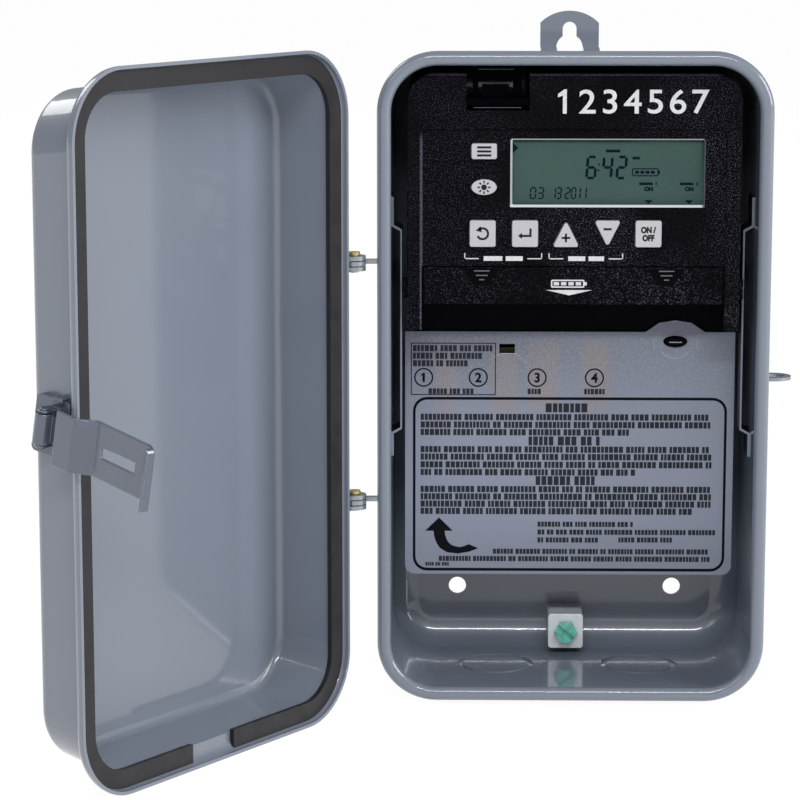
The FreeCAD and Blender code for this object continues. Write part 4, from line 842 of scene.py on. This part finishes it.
class TIMER_OT_display(StepOperator):
    """Finish the display and draw what it shows"""

    bl_idname = "timer.display"
    bl_label = "Display"

    def execute(self, context):
        dress(display_back("display_back"), "lcd_module")
        dress(clear_window("display_window"), "lcd_window")
        dark = ink("display_segments", finish().segment, roughness=0.6, shine=0.05)
        shapes = []
        high = sizes().time_height / MM
        for figure, left in TIME_FIGURES:
            shapes += seven_segments(figure, left, TIME_BOTTOM, TIME_WIDTH, high, TIME_STROKE)
        shapes += [circle(x, z, COLON_RADIUS, 12) for x, z in COLON]
        high = sizes().date_height / MM
        for figure, left, wide in DATE_FIGURES:
            shapes += seven_segments(figure, left, DATE_BOTTOM, wide, high, DATE_STROKE)
        for x in LOADS:
            shapes += load_mark(x)
        shapes.append(DISPLAY_CORNER)
        shapes += [bar(*sides) for sides in DISPLAY_BARS]
        shapes += CELL_BARS
        first, last = LOADS
        shapes.append(figure_one(first + 2.25, LOAD_NUMBER_HEIGHT, LOAD_NUMBER_SIZE, 0.3))
        cell = [rounded(*sides) for sides in CELL_RING]
        print_flat(
            "display_marks", "mechanism", dark, DISPLAY_FACE, shapes, [cell],
            depth=0.03,
        )
        lettering(
            "load_figure_2", "2", LOAD_NUMBER_SIZE, (last + 2.3, DISPLAY_FACE, LOAD_NUMBER_HEIGHT),
            "mechanism", dark, weight=0.06,
        )
        for number, x in enumerate(LOADS, 1):
            lettering(
                f"load_state_{number}", "ON", LOAD_STATE_SIZE,
                (x, DISPLAY_FACE, LOAD_STATE_HEIGHT), "mechanism", dark,
                weight=0.13,
            )
        # A ring of painted highlight on the window's cut edge, widest below
        left, right, bottom, top = RIM
        thin = sizes().rim_width / MM
        outer = rounded(left, right, bottom, top, 0.9)
        inner = rounded(
            left + thin * 1.6, right - thin, bottom + thin * 2.4, top - thin * 0.7, 0.5)
        print_flat(
            "display_rim", "mechanism", display_edge("display_edge"),
            WINDOW_FACE, rings=[(outer, inner)], depth=RIM_DEPTH,
        )
        return {"FINISHED"}


# The keys' marks, each about a middle

def list_mark(x, z):
    """Three level bars."""
    reach, half, pitch = 2.1, 0.32, 1.2
    return [
        bar(x - reach, x + reach, z + step - half, z + step + half)
        for step in (-pitch, 0, pitch)
    ]


def sun_mark(x, z):
    """A disc with eight rays."""
    near, far, stroke, rays = 1.2, 1.95, 0.44, 8
    shapes = [circle(x, z, 0.85, 20)]
    for index in range(rays):
        angle = 2 * math.pi * index / rays
        east, north = math.cos(angle), math.sin(angle)
        start = (x + near * east, z + near * north)
        shapes.append(line(start, (x + far * east, z + far * north), stroke))
    return shapes


def turn_mark(x, z):
    """An arrow that runs back round most of a circle."""
    inner, outer, first, last = 1.3, 1.95, 130, -155
    middle = 1.5
    tip_x = x + middle * math.cos(math.radians(first))
    tip_z = z + middle * math.sin(math.radians(first))
    head = [(tip_x - 1.1, tip_z - 0.2), (tip_x + 0.75, tip_z - 0.75), (tip_x + 0.35, tip_z + 1.1)]
    return [arc(x, z, inner, outer, first, last), head]


def enter_mark(x, z):
    """A bent arrow that points left."""
    return [
        bar(x - 1.2, x + 1.95, z - 0.95, z - 0.3), bar(x + 1.3, x + 1.95, z - 0.3, z + 1.6),
        [(x - 2.1, z - 0.6), (x - 0.9, z - 1.5), (x - 0.9, z + 0.3)],
    ]


def plus_mark(x, _):
    """A plus, in the lower half of its triangle."""
    reach, half, middle = 1.3, 0.3, 42.8
    return [
        bar(x - reach, x + reach, middle - half, middle + half),
        bar(x - half, x + half, middle - reach, middle + reach),
    ]


def minus_mark(x, _):
    """A minus, in the upper half of its triangle."""
    return [bar(x - 1.2, x + 1.2, 45.1, 45.75)]


KEY_MARKS = (
    ("mode", list_mark), ("day", sun_mark), ("reset", turn_mark), ("enter", enter_mark),
    ("plus", plus_mark), ("minus", minus_mark),
)
ON_OFF_WORDS = (("on_mark", "ON /", 1.2), ("off_mark", "OFF", -1.2))


class TIMER_OT_keys(StepOperator):
    """Finish the keys and print their marks"""

    bl_idname = "timer.keys"
    bl_label = "Keys"

    def execute(self, context):
        ivory = plain_plastic("ivory_keys", finish().key, 0.42, 1800, amount=0.04, edges=0.35)
        dress(ivory, *(f"{name}_key" for name, _ in KEY_MARKS), "on_off_key")
        black = ink("black_print", finish().ink)

        def centre(name):
            low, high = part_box(name)
            return (low.x + high.x) / 2 / MM, (low.z + high.z) / 2 / MM

        for name, mark in KEY_MARKS:
            key = f"{name}_key"
            print_flat(f"{name}_mark", key, black, KEY_FACE, mark(*centre(key)))
        x, z = centre("on_off_key")
        for name, words, rise in ON_OFF_WORDS:
            lettering(
                name, words, 1.75, (x, KEY_FACE, z + rise), "on_off_key", black,
                weight=0.15, width=0.82,
            )
        return {"FINISHED"}


# The drawer's cell mark with its knob, bars and the arrow below it
DRAWER_RING = ((-6.6, 3.4, 27.7, 30.1, 0.4), (-6.2, 3.0, 28.1, 29.7, 0.2))
DRAWER_MARKS = [bar(3.4, 4.1, 28.4, 29.4), [(-8.1, 27.0), (-1.2, 25.4), (5.7, 27.0)]] + [
    bar(-5.8 + 2.2 * step, -4.2 + 2.2 * step, 28.4, 29.4) for step in range(4)]
GRIPS = (("left", -27.35), ("right", 27.9))
GRIP_BOTTOM, GRIP_TOP, GRIP_DEPTH = 28.3, 33.4, 0.06
# A grip's ridges: half length and middle height
RIDGES = ((2.3, 32.75), (1.75, 31.4), (0.75, 30.1))
RIDGE_HALF, RIDGE_DEPTH = 0.16, 0.3


def grip(x):
    """The outline of a finger grip, wider at the top."""
    return [
        (x - 5.6, GRIP_TOP), (x - 2.3, GRIP_BOTTOM), (x + 1.9, GRIP_BOTTOM), (x + 5.6, GRIP_TOP)]


class TIMER_OT_drawer(StepOperator):
    """Print the battery drawer, fit its finger grips and finish the cells"""

    bl_idname = "timer.drawer"
    bl_label = "Battery drawer"

    def execute(self, context):
        white = ink("white_marks", finish().paint)
        cell = [rounded(*sides) for sides in DRAWER_RING]
        print_flat(
            "battery_mark", "battery_drawer", white, DRAWER_FACE, DRAWER_MARKS,
            [cell],
        )
        plate = black_plastic("grip_black", speck=0.0, grain=0.05)
        ridge = plain_plastic("grip_ridge", (0.13, 0.13, 0.15), 0.3, 800)
        for side, x in GRIPS:
            print_flat(
                f"grip_plate_{side}", "battery_drawer", plate, DRAWER_FACE,
                [grip(x)], depth=GRIP_DEPTH,
            )
            rows = [bar(x - half, x + half, z - RIDGE_HALF, z + RIDGE_HALF) for half, z in RIDGES]
            print_flat(
                f"grip_ridges_{side}", "battery_drawer", ridge,
                DRAWER_FACE - GRIP_DEPTH, rows, depth=RIDGE_DEPTH,
            )
        dress(steel("spring_steel", (0.6, 0.6, 0.58), 0.4), "battery_contacts")
        dress(plain_plastic("cell_jacket", (0.05, 0.05, 0.055), 0.3, 400), "battery_cells")
        return {"FINISHED"}


class TIMER_OT_electrics(StepOperator):
    """Finish the terminals, the board and what it carries"""

    bl_idname = "timer.electrics"
    bl_label = "Electrics"

    def execute(self, context):
        dress(steel("terminal_plate", (0.62, 0.55, 0.36)), "terminal_plates", "terminal_screws")
        laminate = plain_plastic("board_laminate", (0.015, 0.13, 0.05), 0.35, 700, amount=0.2)
        dress(laminate, "circuit_board")
        dress(plain_plastic("relay_case", (0.02, 0.07, 0.22), 0.3, 900), "relay")
        dress(steel("transformer_iron", (0.12, 0.12, 0.12), 0.55), "transformer")
        dress(rubber("key_mat", (0.45, 0.45, 0.43)), "keypad_mat")
        return {"FINISHED"}


# The sheet's plain rows: left, right, middle height, block height
HEADINGS = ((-7.3, 5.6, -12.4, 2.8), (-12.5, 11.0, -22.8, 2.8), (-10.2, 9.0, -35.3, 2.8))
# Rows of full width: right, middle height
PARAGRAPHS = (
    (44.2, -15.35), (44.0, -17.75), (18.9, -20.1), (44.1, -25.5), (44.4, -27.85),
    (44.2, -30.3), (21.1, -32.7), (44.3, -38.05), (44.4, -40.4), (44.4, -42.7), (39.6, -45.0),
)
PARAGRAPH_LEFT, PARAGRAPH_BLOCK = -45.8, 1.95
LOOSE_ROWS = (
    (-48.2, -23.6, 6.1, 1.9), (-48.2, -26.0, 3.75, 1.9), (-48.2, -31.3, 1.4, 1.9),
    (-43.4, -29.3, -7.3, 1.7), (-12.9, -7.0, -7.3, 1.7), (4.5, 11.7, -7.3, 1.7),
    (-9.5, 20.2, -49.1, 1.6), (-9.5, 46.5, -51.6, 1.6), (-9.5, 9.3, -54.1, 1.6),
    (15.6, 32.9, -54.0, 1.6), (-23.3, 44.4, -57.75, 1.6), (-40.1, 44.6, -60.1, 1.6),
    (-44.3, -36.7, -61.85, 1.1),
)
SHEET_ROWS = HEADINGS + tuple(
    (PARAGRAPH_LEFT, right, z, PARAGRAPH_BLOCK) for right, z in PARAGRAPHS) + LOOSE_ROWS

# The curved arrow: pairs of points across its shaft, then its head and its tail
ARROW_EDGES = (
    ((-41.79, -51.3), (-38.32, -51.3)), ((-41.62, -52.8), (-38.15, -52.7)),
    ((-41.22, -54.18), (-37.76, -53.88)), ((-40.65, -55.5), (-37.2, -54.9)),
    ((-39.83, -56.73), (-36.22, -55.79)), ((-37.6, -58.14), (-35.0, -56.25)),
    ((-34.27, -58.55), (-33.58, -56.48)), ((-30.8, -57.96), (-32.2, -56.15)),
    ((-29.3, -57.4), (-30.81, -55.55)),
)
ARROW = [
    [(-40.07, -47.1), (-44.35, -51.3), (-35.83, -51.3)],
    [(-29.3, -57.4), (-27.89, -56.81), (-30.81, -55.55)],
] + [
    [before[0], before[1], after[1], after[0]]
    for before, after in zip(ARROW_EDGES, ARROW_EDGES[1:])
]
# The frame at the top left, and the frame round the rows
SHEET_RINGS = [
    (bar(-48.85, -22.7, -8.5, 7.8), bar(-48.58, -22.97, -8.23, 7.53)),
    (rounded(-48.2, 48.5, -64.0, -9.1, 4.4), rounded(-47.4, 47.7, -63.1, -9.95, 3.6)),
]
# The circled figures of the terminals: their middles
TERMINAL_FIGURES = (("1", -44.9), ("2", -28.1), ("3", -10.0), ("4", 7.6))
TERMINAL_MIDDLE, TERMINAL_SIZE, TERMINAL_STROKE = -3.0, 2.9, 0.75
TERMINAL_OUTER, TERMINAL_INNER = 2.95, 2.5
# Painted highlights on the sheet's creases: over the slot at the left, and round the post
CREASE_HIGHLIGHTS = [
    line((-24.5, 2.6), (-21.4, 4.5), 0.16), line((-21.4, 4.5), (-16.6, 4.5), 0.22),
    line((-16.6, 4.5), (-12.9, 1.3), 0.16), arc(32.3, 8.4, 5.1, 5.3, 215, 325),
    arc(32.3, 8.4, 6.6, 6.75, 172, 198, 8), arc(32.3, 8.4, 6.6, 6.75, -18, 8, 8),
]
# Painted highlight on the post
POST_GLINT = (30.3, 34.2, 8.25, 8.5)


class TIMER_OT_insulator(StepOperator):
    """Finish the insulator sheet and print it"""

    bl_idname = "timer.insulator"
    bl_label = "Insulator"

    def execute(self, context):
        dress(insulator_film("grey_film"), "insulator_sheet")
        black = ink("sheet_print", finish().ink, roughness=0.6, shine=0.05)
        rings, shapes = list(SHEET_RINGS), list(ARROW)
        for figure, x in TERMINAL_FIGURES:
            rings.append([
                circle(x, TERMINAL_MIDDLE, radius) for radius in (TERMINAL_OUTER, TERMINAL_INNER)])
            if figure == "1":
                shapes.append(figure_one(x, TERMINAL_MIDDLE, TERMINAL_SIZE, TERMINAL_STROKE))
            else:
                lettering(
                    f"terminal_figure_{figure}", figure, TERMINAL_SIZE,
                    (x, SHEET_FACE, TERMINAL_MIDDLE), "insulator", black,
                    weight=0.13,
                )
        pale = ink("small_print_ink", finish().small_print, roughness=0.6, shine=0.05)
        # Painted highlights on the creases and the post
        crease_highlight = ink("crease_shine", (0.42, 0.46, 0.54), roughness=0.25)
        glint = [bar(*POST_GLINT)]
        for name, body, material, y, outlines, between in (
            ("sheet_frames", "insulator", black, SHEET_FACE, shapes, rings),
            ("sheet_rows", "insulator", pale, SHEET_FACE, plain_rows(SHEET_ROWS), ()),
            ("sheet_creases", "insulator", crease_highlight, SHEET_FACE, CREASE_HIGHLIGHTS, ()),
            ("post_slot", "mechanism", crease_highlight, POST_FACE, glint, ()),
        ):
            print_flat(name, body, material, y, outlines, between)
        return {"FINISHED"}


# The studio, in metres

FLOOR_REACH = 6.0
FLOOR_GREY = 0.86
# The floor as the camera and reflections see it: how much of it glows, and how strongly
FLOOR_GLOW_SHARE, FLOOR_GLOW = 0.86, 1.10
WHITE = (1, 1, 1, 1)
# Lamps: name, place, width, height
LAMPS = (
    ("key", (1.65, -0.55, 0.60), 0.9, 0.9),
    ("fill", (-1.0, -1.3, 0.8), 0.6, 0.6),
    ("strip", (0.05, -1.05, 0.68), 0.75, 0.08),
    ("back", (-1.1, 0.8, 1.1), 0.7, 0.7),
)
LAMP_TARGET = (-0.04, -0.05, 0.0)
# The camera: place in millimetres, turn down and aside in degrees
CAMERA_PLACE = (-34.97, -953.98, 154.45)
CAMERA_PITCH, CAMERA_YAW = 10.096, -1.068
SENSOR_WIDTH = 36
CLIP_START, CLIP_END = 0.05, 20


def shader_node(tree, kind, **values):
    """A node of a shader tree with the values of its inputs."""
    made = tree.nodes.new(kind)
    for socket, value in values.items():
        made.inputs[socket].default_value = value
    return made


def mix_shaders(tree, share, first, second, out):
    """Two shaders mixed by a share, led to the output."""
    mix = tree.nodes.new("ShaderNodeMixShader")
    for socket, source in zip(mix.inputs, (share, first.outputs[0], second.outputs[0])):
        tree.links.new(source, socket)
    tree.links.new(mix.outputs[0], out.inputs[0])


def pale_floor(name):
    """Matt grey under the lamps, nearly white to the camera and in reflections."""
    made = bpy.data.materials.new(name)
    made.use_nodes = True
    tree = made.node_tree
    tree.nodes.clear()
    out = tree.nodes.new("ShaderNodeOutputMaterial")
    matt = shader_node(tree, "ShaderNodeBsdfDiffuse", Color=(*(FLOOR_GREY,) * 3, 1))
    glow = shader_node(tree, "ShaderNodeEmission", Color=WHITE, Strength=FLOOR_GLOW)
    path = tree.nodes.new("ShaderNodeLightPath").outputs
    seen = math_node(tree, "MAXIMUM", path["Is Camera Ray"], path["Is Glossy Ray"])
    share = math_node(tree, "MULTIPLY", seen, FLOOR_GLOW_SHARE)
    mix_shaders(tree, share, matt, glow, out)
    return made


def add_floor(scene):
    """A plain square under the part."""
    low = CAD_BOX[0].z
    corners = ((-1, -1), (1, -1), (1, 1), (-1, 1))
    mesh = bpy.data.meshes.new("floor")
    mesh.from_pydata(
        [(x * FLOOR_REACH, y * FLOOR_REACH, low) for x, y in corners], [], [(0, 1, 2, 3)])
    mesh.materials.append(pale_floor("pale_floor"))
    floor = bpy.data.objects.new("floor", mesh)
    scene.collection.objects.link(floor)


def add_sky(scene, ambient):
    """A weak even sky on the object, white to the camera."""
    world = bpy.data.worlds.new("studio")
    scene.world = world
    world.use_nodes = True
    tree = world.node_tree
    tree.nodes.clear()
    out = tree.nodes.new("ShaderNodeOutputWorld")
    sky = shader_node(tree, "ShaderNodeBackground", Color=WHITE, Strength=ambient)
    white = shader_node(tree, "ShaderNodeBackground", Color=WHITE)
    path = tree.nodes.new("ShaderNodeLightPath").outputs
    seen = math_node(tree, "MAXIMUM", path["Is Camera Ray"], path["Is Transmission Ray"])
    mix_shaders(tree, seen, sky, white, out)


def add_lamp(scene, name, place, width, high, watts):
    """A soft lamp turned to the part and hidden from the camera."""
    lamp = bpy.data.lights.new(name, "AREA")
    lamp.shape = "RECTANGLE"
    lamp.size, lamp.size_y, lamp.energy = width, high, watts
    holder = bpy.data.objects.new(name, lamp)
    holder.location = place
    holder.visible_camera = False
    aim = Vector(LAMP_TARGET) - Vector(place)
    holder.rotation_euler = aim.to_track_quat("-Z", "Y").to_euler()
    scene.collection.objects.link(holder)


def add_camera(scene, focal):
    """The camera, fitted to the photograph."""
    camera = bpy.data.cameras.new("camera")
    camera.sensor_width = SENSOR_WIDTH
    camera.lens = focal
    camera.clip_start, camera.clip_end = CLIP_START, CLIP_END
    holder = bpy.data.objects.new("camera", camera)
    pitch, yaw = math.radians(CAMERA_PITCH), math.radians(CAMERA_YAW)
    ahead = Vector((
        math.sin(yaw) * math.cos(pitch), math.cos(yaw) * math.cos(pitch), -math.sin(pitch)))
    right = Vector((math.cos(yaw), -math.sin(yaw), 0))
    turn = Matrix((right, right.cross(ahead), -ahead)).transposed().to_4x4()
    holder.matrix_world = Matrix.Translation(Vector(CAMERA_PLACE) * MM) @ turn
    scene.collection.objects.link(holder)
    scene.camera = holder


class TIMER_OT_stage(StepOperator):
    """Set up the floor, light and camera"""

    bl_idname = "timer.stage"
    bl_label = "Studio"

    def execute(self, context):
        scene = context.scene
        studio = scene.timer_studio
        add_floor(scene)
        add_sky(scene, studio.ambient)
        for name, place, width, high in LAMPS:
            watts = getattr(studio, f"{name}_power")
            add_lamp(scene, f"{name}_light", place, width, high, watts)
        add_camera(scene, studio.focal)
        scene.view_settings.view_transform = "Standard"
        return {"FINISHED"}


STEPS = (
    TIMER_OT_case, TIMER_OT_steelwork, TIMER_OT_ground, TIMER_OT_bezel, TIMER_OT_display,
    TIMER_OT_keys, TIMER_OT_drawer, TIMER_OT_electrics, TIMER_OT_insulator, TIMER_OT_stage,
)


class TIMER_PT_panel(bpy.types.Panel):
    """The timer's steps and settings"""

    bl_label = "Seven-day timer"
    bl_space_type = "VIEW_3D"
    bl_region_type = "UI"
    bl_category = "Timer"

    def draw(self, context):
        scene = context.scene
        for step in STEPS:
            self.layout.operator(step.bl_idname)
        for group in (scene.timer_finish, scene.timer_sizes, scene.timer_studio):
            box = self.layout.box()
            for name in group.__annotations__:
                box.prop(group, name)


CLASSES = (TimerFinish, TimerSizes, TimerStudio, *STEPS, TIMER_PT_panel)


def register():
    for item in CLASSES:
        bpy.utils.register_class(item)
    bpy.types.Scene.timer_finish = PointerProperty(type=TimerFinish)
    bpy.types.Scene.timer_sizes = PointerProperty(type=TimerSizes)
    bpy.types.Scene.timer_studio = PointerProperty(type=TimerStudio)


def unregister():
    del bpy.types.Scene.timer_finish, bpy.types.Scene.timer_sizes, bpy.types.Scene.timer_studio
    for item in reversed(CLASSES):
        bpy.utils.unregister_class(item)


def main():
    register()
    for step in STEPS:
        area, name = step.bl_idname.split(".")
        getattr(getattr(bpy.ops, area), name)()


if __name__ == "__main__":
    main()
